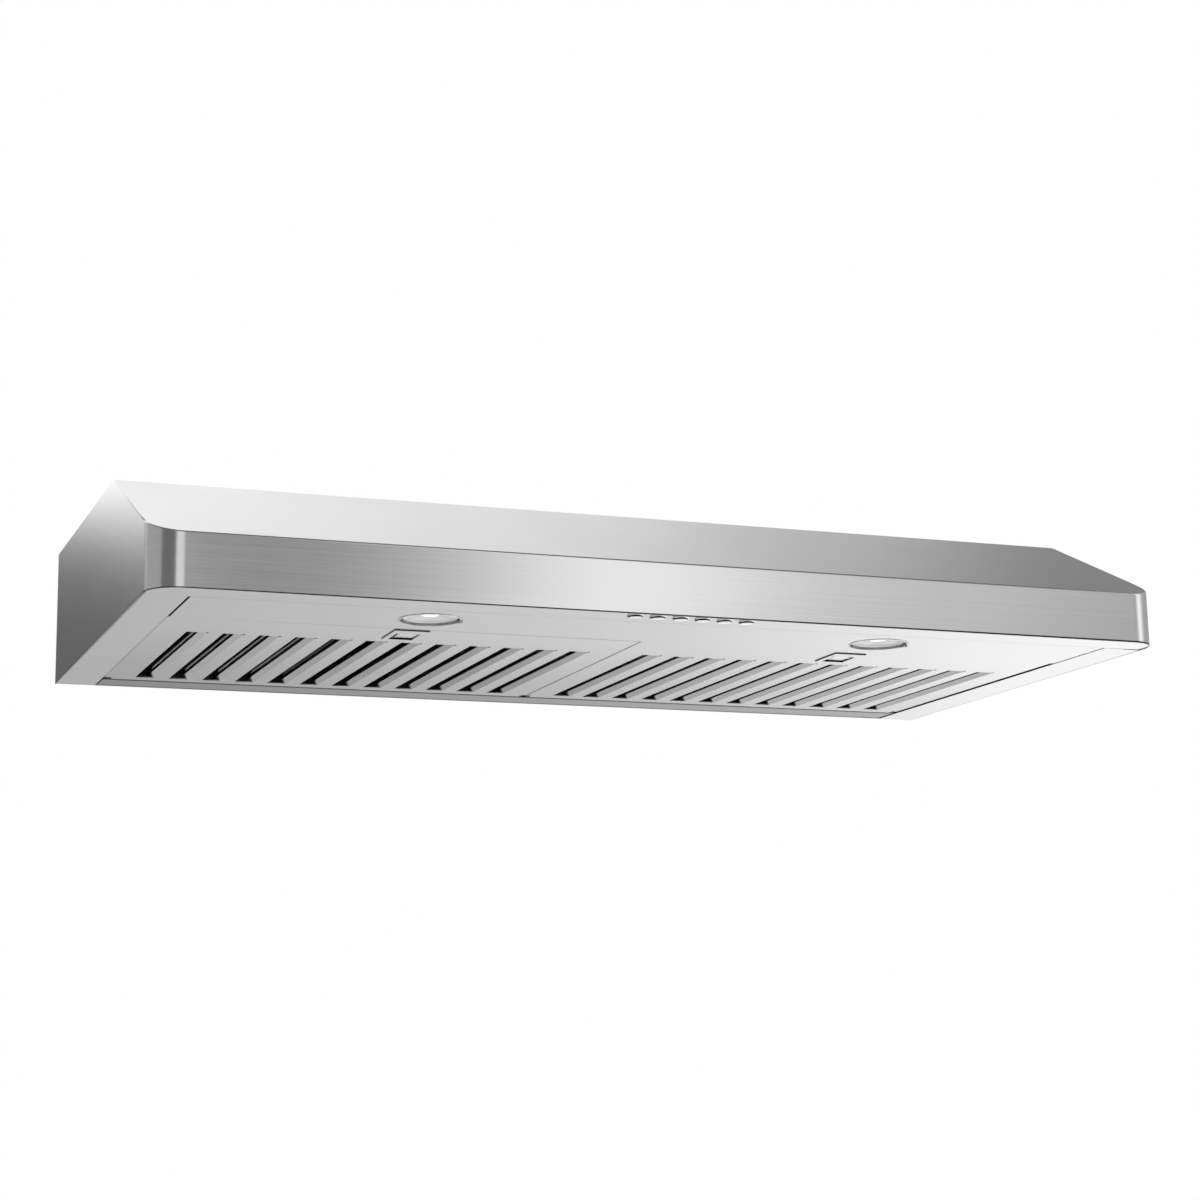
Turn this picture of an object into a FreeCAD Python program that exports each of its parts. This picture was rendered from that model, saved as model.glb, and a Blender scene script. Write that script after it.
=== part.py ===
"""Under cabinet range hood, 36 inch class: a folded steel canopy with two baffle filters.

Frame: millimetres, +X right, +Y towards the wall, +Z up.  The origin is the centre of the
flat top, in the plane that is screwed to the cabinet, so the hood hangs below z = 0.
Every length comes from the Sizes sheet; the Layout sheet works the places out from it.
"""
import FreeCAD, Part
import Sketcher
import math
import os

SIZES = [
    # canopy
    ("width", 914.0, "overall width"),
    ("depth", 476.0, "front face to wall"),
    ("height", 126.0, "lower edge to flat top"),
    ("top_depth", 303.0, "wall face to the front edge of the flat top"),
    ("band_height", 45.0, "upright front band"),
    ("corner_radius", 28.0, "upright front corners, seen from above"),
    ("sheet", 1.0, "thickness of every folded sheet"),
    ("lip_recess", 0.5, "underside panels sit this far inside the lower edge"),
    ("seam", 0.3, "gap between neighbouring underside panels"),
    ("overrun", 2.0, "how far a cutting profile runs past the edge that it opens"),
    ("panel_flange", 12.0, "turned up edges of the underside panels"),
    ("top_flange", 15.0, "turned down edges of the top panel"),
    ("lip_depth", 34.5, "front face to the rear edge of the front lip"),
    ("side_strip", 39.0, "width of each side strip"),
    ("light_depth", 119.8, "front face to the rear edge of the light panel"),
    ("light_left_gap", 3.0, "open gap at the left end of the light panel"),
    ("rail_depth", 38.8, "wall face to the front edge of the rear rail"),
    ("rail_hem", 5.0, "flat front hem of the rear rail"),
    ("rail_step", 0.6, "the rail behind its hem lies this much higher"),
    ("rail_dam", 9.0, "height of the rail's grease dam"),
    # fixing and services
    ("mount_span", 780.0, "cabinet screws, side to side"),
    ("mount_rows", 200.0, "cabinet screws, front to back"),
    ("mount_hole", 3.2, "radius of the cabinet screw holes"),
    ("knockout_radius", 11.1, "cable knockout"),
    ("knockout_width", 0.8, "width of the grooves round the knockouts"),
    ("knockout_depth", 0.5, "depth of the grooves round the knockouts"),
    # filters
    ("filter_side_gap", 1.1, "left strip to left filter"),
    ("filter_right_gap", 3.7, "right filter to right strip"),
    ("filter_seam", 1.2, "between the two filters"),
    ("filter_front_gap", 1.4, "light panel to filter"),
    ("filter_height", 16.0, "depth of a filter's frame"),
    ("slot_count", 12, "slots in one filter"),
    ("slot_margin", 25.6, "filter's sides to its outer slots"),
    ("slot_width", 17.5, "opening of one slot"),
    ("slot_front", 60.3, "filter's front edge to the slots"),
    ("slot_rear", 14.5, "slot end to the filter's rear edge"),
    ("lip_run", 4.5, "slanted lip, sideways"),
    ("lip_rise", 3.3, "slanted lip, upwards"),
    ("baffle_sheet", 0.8, "inner baffles and their bars"),
    ("baffle_level", 11.8, "top of the inner baffles' end bars above the filter's outer face"),
    ("baffle_overlap", 2.2, "inner baffle past the open side of its slot"),
    ("baffle_width", 18.4, "inner baffle, side to side"),
    ("baffle_leg", 2.8, "turned down edge of an inner baffle"),
    ("baffle_bar", 9.0, "end bars that join the inner baffles"),
    ("notch", 5.0, "rear corner notch, along the filter's width"),
    ("notch_depth", 9.0, "rear corner notch, front to rear"),
    ("pin_radius", 2.0, "filter's hinge pins"),
    ("pin_clearance", 0.06, "hinge pin in its ear, on the radius"),
    ("pin_setback", 2.2, "pin axis to the filter's rear edge"),
    ("pin_length", 4.2, "how far a hinge pin stands out"),
    ("ear_radius", 3.2, "round end of a hinge ear"),
    ("ear_sheet", 1.2, "thickness of a hinge ear"),
    ("ear_gap", 1.4, "hinge ear to the filter's notch wall"),
    ("swing_gap", 4.4, "pin axis to the rear rail"),
    # latches
    ("cup_width", 31.0, "latch rim, side to side"),
    ("cup_length", 43.0, "latch rim, front to rear"),
    ("cup_setback", 2.6, "filter's front edge to the latch rim"),
    ("cup_proud", 1.0, "latch rim below the filter's face"),
    ("cup_flange", 1.5, "latch rim past the walls of its cup"),
    ("cup_clearance", 0.15, "cup in the hole of the filter's face"),
    ("cup_height", 9.0, "top of the cup above the filter's outer face"),
    ("window_width", 21.0, "finger window in the latch rim"),
    ("window_length", 27.0, "finger window in the latch rim"),
    ("window_back", 3.3, "finger window to the rear edge of the rim"),
    ("thumb_margin", 1.5, "latch slide past the sides of its window"),
    ("thumb_travel", 3.0, "latch slide stroke"),
    ("thumb_clearance", 0.2, "latch slide to the rim and roof, nose to its slot"),
    ("scoop_depth", 2.8, "finger scoop at its rear wall"),
    ("scoop_wall", 1.5, "rear wall of the finger scoop"),
    ("rib_count", 2, "grip ribs in the finger scoop"),
    ("rib_pitch", 7.0, "grip rib to grip rib"),
    ("rib_width", 0.8, "grip rib"),
    ("rib_height", 0.6, "grip rib"),
    ("nose_width", 10.0, "latch nose"),
    ("nose_thickness", 2.5, "latch nose"),
    ("nose_gap", 0.3, "latch nose to the light panel's flange"),
    ("spring_sheet", 0.4, "bowed leaf spring behind the latch slide"),
    ("spring_reach", 7.0, "half the span of the leaf spring"),
    # controls
    ("button_count", 6, "push buttons"),
    ("button_pitch", 20.3, "button to button"),
    ("button_y", 11.5, "front face to the button axes"),
    ("button_radius", 6.2, "button head"),
    ("button_proud", 2.5, "button face below the lip"),
    ("button_crown", 0.5, "doming of the button face"),
    ("button_travel", 2.0, "button stroke"),
    ("button_head", 5.0, "button head above the lip's face"),
    ("stem_radius", 3.0, "button stem"),
    ("stem_clearance", 0.06, "stem in its bore, on the radius"),
    ("stem_length", 9.0, "button stem"),
    ("bezel_radius", 7.6, "button bezel"),
    ("bezel_clearance", 0.25, "button in its bezel, on the radius"),
    ("bezel_lip", 0.5, "bezel's rim on the lip's face"),
    ("switch_gap", 0.6, "pressed button head to the switch block"),
    ("switch_depth", 15.0, "switch block, front to rear"),
    ("switch_height", 20.0, "switch block"),
    ("switch_margin", 11.0, "switch block past the outer button axes"),
    ("tab_width", 6.3, "spade terminal"),
    ("tab_height", 8.0, "spade terminal"),
    ("tab_sheet", 0.8, "spade terminal"),
    # lamps
    ("lamp_span", 418.0, "lamp to lamp"),
    ("lamp_y", 75.0, "front face to the lamp axes"),
    ("lamp_radius", 27.0, "lamp ring, outside"),
    ("lamp_barrel", 26.0, "lamp ring's barrel, outside"),
    ("lamp_wall", 0.8, "lamp ring's barrel wall"),
    ("lamp_proud", 0.5, "lamp ring below the panel"),
    ("lamp_height", 16.0, "lamp ring's barrel above the panel's face"),
    ("lens_recess", 3.2, "glass above the ring's rim"),
    ("lens_thickness", 2.0, "lamp glass"),
    ("lens_clearance", 0.05, "glass and housing in the ring's barrel, on the radius"),
    ("emitter_radius", 17.0, "bright disc"),
    ("emitter_gap", 2.0, "glass to bright disc"),
    ("emitter_thickness", 1.5, "bright disc"),
    ("fin_count", 8, "heat sink fins of one lamp"),
    ("fin_start", 5.0, "lamp axis to the inner edge of a fin"),
    ("fin_height", 8.0, "heat sink fin"),
    ("fin_sheet", 1.0, "heat sink fin"),
    # blower
    ("wheel_radius", 88.0, "blower wheel"),
    ("blade_depth", 14.0, "radial depth of a blade"),
    ("blade_count", 36, "forward curved blades"),
    ("blade_sheet", 0.9, "blade thickness"),
    ("blade_sweep", 8.5, "degrees that a blade leans forward"),
    ("blade_radius", 13.0, "curve of a blade"),
    ("blade_inset", 0.3, "blade tip inside the wheel's rim"),
    ("ring_width", 4.7, "wheel's inlet ring, radially"),
    ("ring_height", 2.0, "wheel's inlet ring"),
    ("wheel_height", 56.0, "blower wheel"),
    ("wheel_gap", 2.0, "inlet ring to wheel"),
    ("hub_radius", 13.0, "wheel hub"),
    ("hub_height", 16.0, "wheel hub"),
    ("shaft_radius", 4.0, "motor shaft"),
    ("shaft_clearance", 0.05, "shaft in the motor's bearing, on the radius"),
    ("base_level", 30.0, "lower edge to the blower's base plate"),
    ("inlet_lip", 6.0, "height of the inlet ring"),
    ("volute_radius", 95.5, "housing's first arc"),
    ("volute_step", 8.0, "growth of the housing for each quarter turn"),
    ("tongue_x", 38.0, "cut-off tongue, right of the blower axis"),
    ("tongue_gap", 3.0, "housing's first arc to the outlet box"),
    ("motor_radius", 50.0, "motor can"),
    ("motor_height", 18.0, "motor can"),
    ("motor_round", 4.0, "motor can's rounded edge"),
    ("bush_radius", 7.0, "rubber bush"),
    ("bush_height", 4.0, "rubber bush"),
    ("bush_circle", 36.0, "rubber bushes about the shaft"),
    ("bush_count", 3, "rubber bushes"),
    # electrics
    ("box_side", 107.0, "right side to the wiring box's middle"),
    ("box_back", 81.0, "wall face to the wiring box's middle"),
    ("box_width", 100.0, "wiring box"),
    ("box_length", 110.0, "wiring box"),
    ("box_height", 55.0, "wiring box"),
    ("terminal_length", 44.0, "terminal block"),
    ("terminal_width", 18.0, "terminal block"),
    ("terminal_height", 16.0, "terminal block"),
    ("terminal_count", 4, "grooves across the terminal block"),
    ("terminal_margin", 5.5, "outer grooves to the ends of the terminal block"),
    ("terminal_groove", 2.0, "groove, width"),
    ("terminal_groove_depth", 5.0, "groove, depth"),
    ("capacitor_radius", 16.0, "capacitor can"),
    ("capacitor_length", 58.0, "capacitor can"),
    ("capacitor_side", 150.0, "wiring box's middle to the capacitor's"),
    ("capacitor_back", 176.0, "wall face to the capacitor"),
    ("clip_sheet", 0.8, "capacitor clip"),
    ("clip_width", 14.0, "capacitor clip"),
    ("clip_clearance", 0.15, "capacitor in its clip, on the radius"),
    # duct
    ("duct_width", 248.0, "duct adapter, outside"),
    ("duct_depth", 83.0, "duct adapter, outside"),
    ("duct_height", 40.0, "duct adapter"),
    ("duct_back", 13.0, "wall face to the duct adapter"),
    ("duct_flange", 8.0, "duct adapter's foot"),
    ("tray_depth", 3.4, "recess in the flat top for the duct adapter's foot and screws"),
    ("tray_gap", 1.0, "duct adapter's foot to the wall of its recess"),
    ("damper_level", 12.0, "damper rod above the flat top"),
    ("damper_sheet", 0.6, "damper leaf"),
    ("damper_gap", 0.8, "damper leaf to the duct wall"),
    ("rod_radius", 1.5, "damper rod"),
    ("rod_clearance", 0.06, "damper leaf on its rod, on the radius"),
    ("rod_seat", 0.02, "damper rod in the duct walls, on the radius"),
    ("knuckle_radius", 2.6, "rolled knuckle of a damper leaf"),
    ("knuckle_count", 6, "knuckles along the rod, shared by both leaves"),
    ("ledge", 3.0, "ledge that a closed leaf rests on"),
    ("ledge_gap", 0.3, "closed leaf above its ledge"),
    # screws
    ("screw_radius", 1.8, "sheet metal screw, shank"),
    ("screw_head", 3.6, "screw head"),
    ("screw_head_height", 2.0, "screw head"),
    ("screw_head_round", 1.2, "rounded edge of a screw head"),
    ("screw_row", 55.0, "adapter screw to adapter screw, front to back"),
    ("screw_length", 5.0, "screw shank"),
    ("screw_clearance", 0.1, "shank in its hole, on the radius"),
]

LAYOUT = [
    ("half_width", "Sizes.width / 2"),
    ("inner_half", "Sizes.width / 2 - Sizes.sheet"),
    ("front", "Sizes.top_depth / 2 - Sizes.depth"),
    ("back", "Sizes.top_depth / 2"),
    ("back_inside", "back - Sizes.sheet"),
    ("under", "-Sizes.height"),
    ("face", "-Sizes.height + Sizes.lip_recess"),
    ("face_top", "face + Sizes.sheet"),
    ("slope_depth", "Sizes.depth - Sizes.top_depth"),
    ("slope_tan", "(Sizes.height - Sizes.band_height) / slope_depth"),
    ("slope_sec", "sqrt(1 + slope_tan * slope_tan)"),
    ("top_front", "front + slope_depth + Sizes.sheet * slope_sec / slope_tan"),
    ("opening", "half_width - Sizes.side_strip"),
    ("lip_rear", "front + Sizes.lip_depth"),
    ("light_rear", "front + Sizes.light_depth"),
    ("rail_front", "back - Sizes.rail_depth"),
    ("filter_front", "light_rear + Sizes.filter_front_gap"),
    ("pin_y", "rail_front - Sizes.swing_gap"),
    ("pin_z", "face + Sizes.ear_radius + Sizes.pin_clearance"),
    ("filter_rear", "pin_y + Sizes.pin_setback"),
    ("filter_length", "filter_rear - filter_front"),
    ("filter_gaps", "Sizes.filter_side_gap + Sizes.filter_seam + Sizes.filter_right_gap"),
    ("filter_width", "opening - filter_gaps / 2"),
    ("left_filter", "-opening + Sizes.filter_side_gap"),
    ("right_filter", "left_filter + filter_width + Sizes.filter_seam"),
    ("slot_span", "filter_width - 2 * Sizes.slot_margin - Sizes.slot_width"),
    ("slot_end", "filter_length - Sizes.slot_rear"),
    ("slot_length", "slot_end - Sizes.slot_front"),
    ("lip_sec", "sqrt(1 + Sizes.lip_rise * Sizes.lip_rise / Sizes.lip_run / Sizes.lip_run)"),
    ("cup_middle", "filter_width / 2"),
    ("cup_rear", "Sizes.cup_setback + Sizes.cup_length"),
    ("cup_front_wall", "Sizes.cup_setback + Sizes.cup_flange"),
    ("cup_rear_wall", "cup_rear - Sizes.cup_flange"),
    ("cup_half", "Sizes.cup_width / 2 - Sizes.cup_flange"),
    ("window_rear", "cup_rear - Sizes.window_back"),
    ("window_front", "window_rear - Sizes.window_length"),
    ("thumb_rear", "cup_rear_wall - Sizes.sheet - Sizes.thumb_travel - 3 * Sizes.spring_sheet"),
    ("thumb_front", "window_front - Sizes.thumb_travel - Sizes.thumb_margin"),
    ("thumb_top", "Sizes.cup_height - Sizes.sheet - Sizes.thumb_clearance"),
    ("spring_rise", "Sizes.thumb_travel + 2 * Sizes.spring_sheet"),
    ("spring_slant", "spring_rise / Sizes.spring_reach"),
    ("spring_bend", "Sizes.spring_sheet * sqrt(1 + spring_slant * spring_slant)"),
    ("scoop_rear", "thumb_rear - Sizes.scoop_wall"),
    ("scoop_slope", "Sizes.scoop_depth / (scoop_rear - window_front)"),
    ("nose_level", "Sizes.cup_height / 2"),
    ("button_span", "(Sizes.button_count - 1) * Sizes.button_pitch"),
    ("button_first", "-button_span / 2"),
    ("button_line", "front + Sizes.button_y"),
    ("button_flat", "Sizes.button_radius - Sizes.bezel_lip"),
    ("crown_radius", "(button_flat * button_flat / Sizes.button_crown + Sizes.button_crown) / 2"),
    ("switch_level", "Sizes.button_head + Sizes.button_travel + Sizes.switch_gap"),
    ("base", "under + Sizes.base_level"),
    ("tray_floor", "-Sizes.tray_depth - Sizes.sheet"),
    ("housing_height", "tray_floor - base - Sizes.sheet"),
    ("housing_roof", "tray_floor - Sizes.sheet"),
    ("wheel_level", "Sizes.sheet + Sizes.inlet_lip + Sizes.wheel_gap"),
    ("blade_angle", "Sizes.blade_sheet / Sizes.wheel_radius * 180 / pi"),
    ("duct_rear", "back - Sizes.duct_back"),
    ("duct_front", "duct_rear - Sizes.duct_depth"),
    ("duct_middle", "(duct_rear + duct_front) / 2"),
    ("duct_inside", "Sizes.duct_width / 2 - Sizes.sheet"),
    ("duct_inside_depth", "Sizes.duct_depth / 2 - Sizes.sheet"),
    ("wheel_x", "duct_inside - 3 * Sizes.volute_step - Sizes.volute_radius"),
    ("outlet_front", "duct_middle - duct_inside_depth"),
    ("wheel_line", "outlet_front - Sizes.volute_radius - Sizes.tongue_gap"),
    ("box_x", "half_width - Sizes.box_side"),
    ("box_line", "back - Sizes.box_back"),
    ("capacitor_x", "box_x - Sizes.capacitor_side"),
    ("capacitor_line", "back - Sizes.capacitor_back"),
    ("clip_radius", "Sizes.capacitor_radius + Sizes.clip_clearance"),
    ("capacitor_level", "-Sizes.sheet - Sizes.clip_sheet - clip_radius"),
]

doc = FreeCAD.newDocument("range_hood")
sizes = doc.addObject("Spreadsheet::Sheet", "Sizes")
layout = doc.addObject("Spreadsheet::Sheet", "Layout")
parts = []


def fill_sheets():
    for row, (alias, number, note) in enumerate(SIZES, start=1):
        sizes.set("A%d" % row, alias)
        sizes.set("B%d" % row, str(number))
        sizes.setAlias("B%d" % row, alias)
        sizes.set("C%d" % row, note)
    doc.recompute()
    for row, (alias, formula) in enumerate(LAYOUT, start=1):
        layout.set("A%d" % row, alias)
        layout.set("B%d" % row, "=" + formula)
        layout.setAlias("B%d" % row, alias)
    doc.recompute()


def number(expression):
    """What an expression on the two sheets comes to now."""
    return float(sizes.evalExpression(str(expression)))


def bind(thing, **expressions):
    for name, expression in expressions.items():
        thing.setExpression(name, str(expression))


def place(thing, x="0", y="0", z="0"):
    for axis, expression in zip("xyz", (x, y, z)):
        thing.setExpression("Placement.Base." + axis, str(expression))


def keep(thing, name):
    thing.Label = name
    parts.append(thing)
    return thing


def new_body(name, x="0", y="0", z="0"):
    body = keep(doc.addObject("PartDesign::Body", name), name)
    place(body, x, y, z)
    return body


def origin_part(body, role):
    return next(item for item in body.Origin.OriginFeatures if item.Role == role)


def new_sketch(body, role="XY_Plane", offset="0"):
    """A sketch on one of the body's own planes; offset runs along +Z, +X or +Y."""
    sketch = body.newObject("Sketcher::SketchObject", body.Name + "_sketch")
    sketch.AttachmentSupport = [(origin_part(body, role), "")]
    sketch.MapMode = "FlatFace"
    if role == "XZ_Plane":
        offset = "-(%s)" % offset
    sketch.setExpression("AttachmentOffset.Base.z", offset)
    return sketch


def pin_point(sketch, geometry, end, x, y):
    """Hold a point of the sketch at the coordinates x and y."""
    for kind, axis, expression in (("DistanceX", -2, x), ("DistanceY", -1, y)):
        if expression == "0":
            sketch.addConstraint(Sketcher.Constraint("PointOnObject", geometry, end, axis))
            continue
        held = Sketcher.Constraint(kind, -1, 1, geometry, end, number(expression))
        index = sketch.addConstraint(held)
        sketch.setExpression("Constraints[%d]" % index, expression)


def arc_between(start, end, radius, turn):
    """An arc of the given radius; turn is 1 for anticlockwise and -1 for clockwise."""
    chord = end - start
    rise = math.sqrt(max(radius * radius - chord.Length * chord.Length / 4, 0))
    side = FreeCAD.Vector(-chord.y, chord.x, 0).normalize() * (rise * turn)
    middle = (start + end) / 2 + side
    first, last = (start, end) if turn > 0 else (end, start)
    angles = [math.atan2(p.y - middle.y, p.x - middle.x) for p in (first, last)]
    if angles[1] < angles[0]:
        angles[1] += 2 * math.pi
    circle = Part.Circle(middle, FreeCAD.Vector(0, 0, 1), radius)
    return Part.ArcOfCircle(circle, angles[0], angles[1])


def outline(sketch, corners):
    """A closed outline.  A corner is (x, y), or (x, y, radius, turn) where an arc leaves it."""
    spots = [FreeCAD.Vector(number(c[0]), number(c[1]), 0) for c in corners]
    edges = []
    for index, corner in enumerate(corners):
        start = spots[index]
        end = spots[(index + 1) % len(spots)]
        if len(corner) == 2:
            edges.append((sketch.addGeometry(Part.LineSegment(start, end)), 1, 2))
            continue
        arc = arc_between(start, end, number(corner[2]), corner[3])
        tail, head = (1, 2) if corner[3] > 0 else (2, 1)
        edges.append((sketch.addGeometry(arc), tail, head))
    for index, (edge, tail, head) in enumerate(edges):
        following, next_tail, _ = edges[(index + 1) % len(edges)]
        joint = Sketcher.Constraint("Coincident", edge, head, following, next_tail)
        sketch.addConstraint(joint)
    for (edge, tail, head), corner in zip(edges, corners):
        pin_point(sketch, edge, tail, corner[0], corner[1])
        if len(corner) > 2:
            bend = Sketcher.Constraint("Radius", edge, number(corner[2]))
            index = sketch.addConstraint(bend)
            sketch.setExpression("Constraints[%d]" % index, corner[2])
    return sketch


def rectangle(sketch, x0, x1, y0, y1):
    return outline(sketch, [(x0, y0), (x1, y0), (x1, y1), (x0, y1)])


def circle(sketch, x, y, radius):
    middle = FreeCAD.Vector(number(x), number(y), 0)
    up = FreeCAD.Vector(0, 0, 1)
    index = sketch.addGeometry(Part.Circle(middle, up, number(radius)))
    pin_point(sketch, index, 3, x, y)
    size = sketch.addConstraint(Sketcher.Constraint("Radius", index, number(radius)))
    sketch.setExpression("Constraints[%d]" % size, radius)
    return sketch


def pad(body, sketch, length, middle=False, back=False):
    feature = body.newObject("PartDesign::Pad", body.Name + "_pad")
    feature.Profile = sketch
    feature.Midplane = middle
    feature.Reversed = back
    bind(feature, Length=length)
    sketch.Visibility = False
    return feature


def pocket(body, sketch, length=None, back=False):
    """Cut a sketch out, through everything or to a depth along the plane's +normal."""
    feature = body.newObject("PartDesign::Pocket", body.Name + "_pocket")
    feature.Profile = sketch
    if length is None:
        feature.Type = "ThroughAll"
        feature.Midplane = True
    else:
        feature.Reversed = not back
        bind(feature, Length=length)
    return feature


def revolve(body, sketch):
    feature = body.newObject("PartDesign::Revolution", body.Name + "_turned")
    feature.Profile = sketch
    feature.ReferenceAxis = (sketch, ["V_Axis"])
    feature.Angle = 360
    return feature


def row_of(body, features, count, span, axis="X_Axis"):
    feature = body.newObject("PartDesign::LinearPattern", body.Name + "_row")
    feature.Originals = features
    feature.Direction = (origin_part(body, axis), [""])
    bind(feature, Length=span, Occurrences=count)
    body.Tip = feature
    return feature


def ring_of(body, features, count):
    feature = body.newObject("PartDesign::PolarPattern", body.Name + "_ring")
    feature.Originals = features
    feature.Axis = (origin_part(body, "Z_Axis"), [""])
    feature.Angle = 360
    bind(feature, Occurrences=count)
    body.Tip = feature
    return feature


def mirror_of(body, features, role="YZ_Plane"):
    feature = body.newObject("PartDesign::Mirrored", body.Name + "_mirror")
    feature.Originals = features
    feature.MirrorPlane = (origin_part(body, role), [""])
    body.Tip = feature
    return feature


# ---------------------------------------------------------------- canopy

def canopy_form(name, inset, reach):
    """The canopy's solid form, drawn in by inset; reach carries the open sides past the edge."""
    body = doc.addObject("PartDesign::Body", name)
    half = "Layout.half_width - (%s)" % inset
    front = "Layout.front + (%s)" % inset
    side = new_sketch(body, "YZ_Plane")
    foot = "Layout.under + Sizes.band_height - (%s) * (Layout.slope_sec - Layout.slope_tan)" % inset
    crest = "Layout.front + Layout.slope_depth + (%s + (%s) * Layout.slope_sec) / Layout.slope_tan"
    outline(side, [
        (front, "Layout.under - (%s)" % reach),
        ("Layout.back + (%s)" % reach, "Layout.under - (%s)" % reach),
        ("Layout.back + (%s)" % reach, reach),
        (crest % (reach, inset), reach),
        (front, foot),
    ])
    pad(body, side, "2 * (%s)" % half, middle=True)
    radius = "Sizes.corner_radius - (%s)" % inset
    corner = new_sketch(body)
    outline(corner, [
        ("%s - (%s)" % (half, radius), "%s - Sizes.overrun" % front),
        ("%s + Sizes.overrun" % half, "%s - Sizes.overrun" % front),
        ("%s + Sizes.overrun" % half, "%s + %s" % (front, radius)),
        (half, "%s + %s" % (front, radius), radius, -1),
        ("%s - (%s)" % (half, radius), front),
    ])
    cut = pocket(body, corner)
    mirror_of(body, [cut])
    return body


def make_canopy_shell():
    """Front band, slope and side walls: one wrapped sheet, open below, above and behind."""
    shell = keep(doc.addObject("Part::Cut", "canopy_shell"), "canopy_shell")
    shell.Base = canopy_form("canopy_outside", "0", "0")
    shell.Tool = canopy_form("canopy_inside", "Sizes.sheet", "Sizes.overrun")


def duct_frame(sketch, grow):
    """A rectangle about the duct: its outside, grown on every side."""
    half = "Sizes.duct_width / 2 + %s" % grow
    deep = "Sizes.duct_depth / 2 + %s" % grow
    rectangle(sketch, "-(%s)" % half, half, "Layout.duct_middle - (%s)" % deep,
              "Layout.duct_middle + %s" % deep)


def make_top_panel():
    """Flat pan with a stamped tray that the duct adapter's foot sits in."""
    body = new_body("top_panel")
    edges = ("-Layout.inner_half", "Layout.inner_half", "Layout.top_front", "Layout.back_inside")
    plate = new_sketch(body, offset="-Sizes.sheet")
    rectangle(plate, *edges)
    pad(body, plate, "Sizes.sheet")
    flange = new_sketch(body, offset="-Sizes.sheet")
    rectangle(flange, *edges)
    rectangle(flange, edges[0] + " + Sizes.sheet", edges[1] + " - Sizes.sheet",
              edges[2] + " + Sizes.sheet", edges[3] + " - Sizes.sheet")
    pad(body, flange, "Sizes.top_flange", back=True)
    tray = new_sketch(body, offset="Layout.tray_floor")
    duct_frame(tray, "Sizes.duct_flange + Sizes.tray_gap + Sizes.sheet")
    pad(body, tray, "Sizes.tray_depth")
    recess = new_sketch(body, offset="-Sizes.tray_depth")
    duct_frame(recess, "Sizes.duct_flange + Sizes.tray_gap")
    pocket(body, recess, "Sizes.tray_depth")
    holes = new_sketch(body)
    for x in ("-Sizes.mount_span / 2", "Sizes.mount_span / 2"):
        for y in ("-Sizes.mount_rows / 2", "Sizes.mount_rows / 2"):
            circle(holes, x, y, "Sizes.mount_hole")
    for x, y in adapter_screw_places():
        circle(holes, x, y, "Sizes.screw_radius + Sizes.screw_clearance")
    pocket(body, holes)
    duct = new_sketch(body)
    duct_frame(duct, "-Sizes.sheet")
    pocket(body, duct)
    groove = new_sketch(body, offset="-Sizes.knockout_depth")
    circle(groove, "Layout.box_x", "Layout.box_line", "Sizes.knockout_radius")
    circle(groove, "Layout.box_x", "Layout.box_line",
           "Sizes.knockout_radius + Sizes.knockout_width")
    pocket(body, groove, "Sizes.knockout_depth")


def make_back_panel():
    body = new_body("back_panel")
    plate = new_sketch(body, "XZ_Plane", "Layout.back")
    rectangle(plate, "-Layout.inner_half", "Layout.inner_half", "Layout.face", "0")
    pad(body, plate, "Sizes.sheet")
    groove = new_sketch(body, "XZ_Plane", "Layout.back")
    low = "-Sizes.top_flange - Sizes.duct_depth"
    rectangle(groove, "-Sizes.duct_width / 2", "Sizes.duct_width / 2", low, "-Sizes.top_flange")
    rectangle(groove, "-Sizes.duct_width / 2 + Sizes.knockout_width",
              "Sizes.duct_width / 2 - Sizes.knockout_width",
              low + " + Sizes.knockout_width", "-Sizes.top_flange - Sizes.knockout_width")
    pocket(body, groove, "Sizes.knockout_depth")


# ---------------------------------------------------------------- underside panels

def make_front_lip():
    body = new_body("front_lip", z="Layout.face")
    front = "Layout.front + Sizes.sheet"
    radius = "Sizes.corner_radius - Sizes.sheet"
    plate = new_sketch(body)
    outline(plate, [
        ("-Layout.inner_half", "%s + %s" % (front, radius), radius, 1),
        ("-Layout.inner_half + %s" % radius, front),
        ("Layout.inner_half - (%s)" % radius, front, radius, 1),
        ("Layout.inner_half", "%s + %s" % (front, radius)),
        ("Layout.inner_half", "Layout.lip_rear"),
        ("-Layout.inner_half", "Layout.lip_rear"),
    ])
    pad(body, plate, "Sizes.sheet")
    flange = new_sketch(body)
    rectangle(flange, "-Layout.inner_half", "Layout.inner_half",
              "Layout.lip_rear - Sizes.sheet", "Layout.lip_rear")
    pad(body, flange, "Sizes.panel_flange")
    hole = new_sketch(body)
    circle(hole, "Layout.button_first", "Layout.button_line",
           "Sizes.button_radius + Sizes.bezel_clearance + Sizes.bezel_lip")
    cut = pocket(body, hole)
    row_of(body, [cut], "Sizes.button_count", "Layout.button_span")


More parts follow.
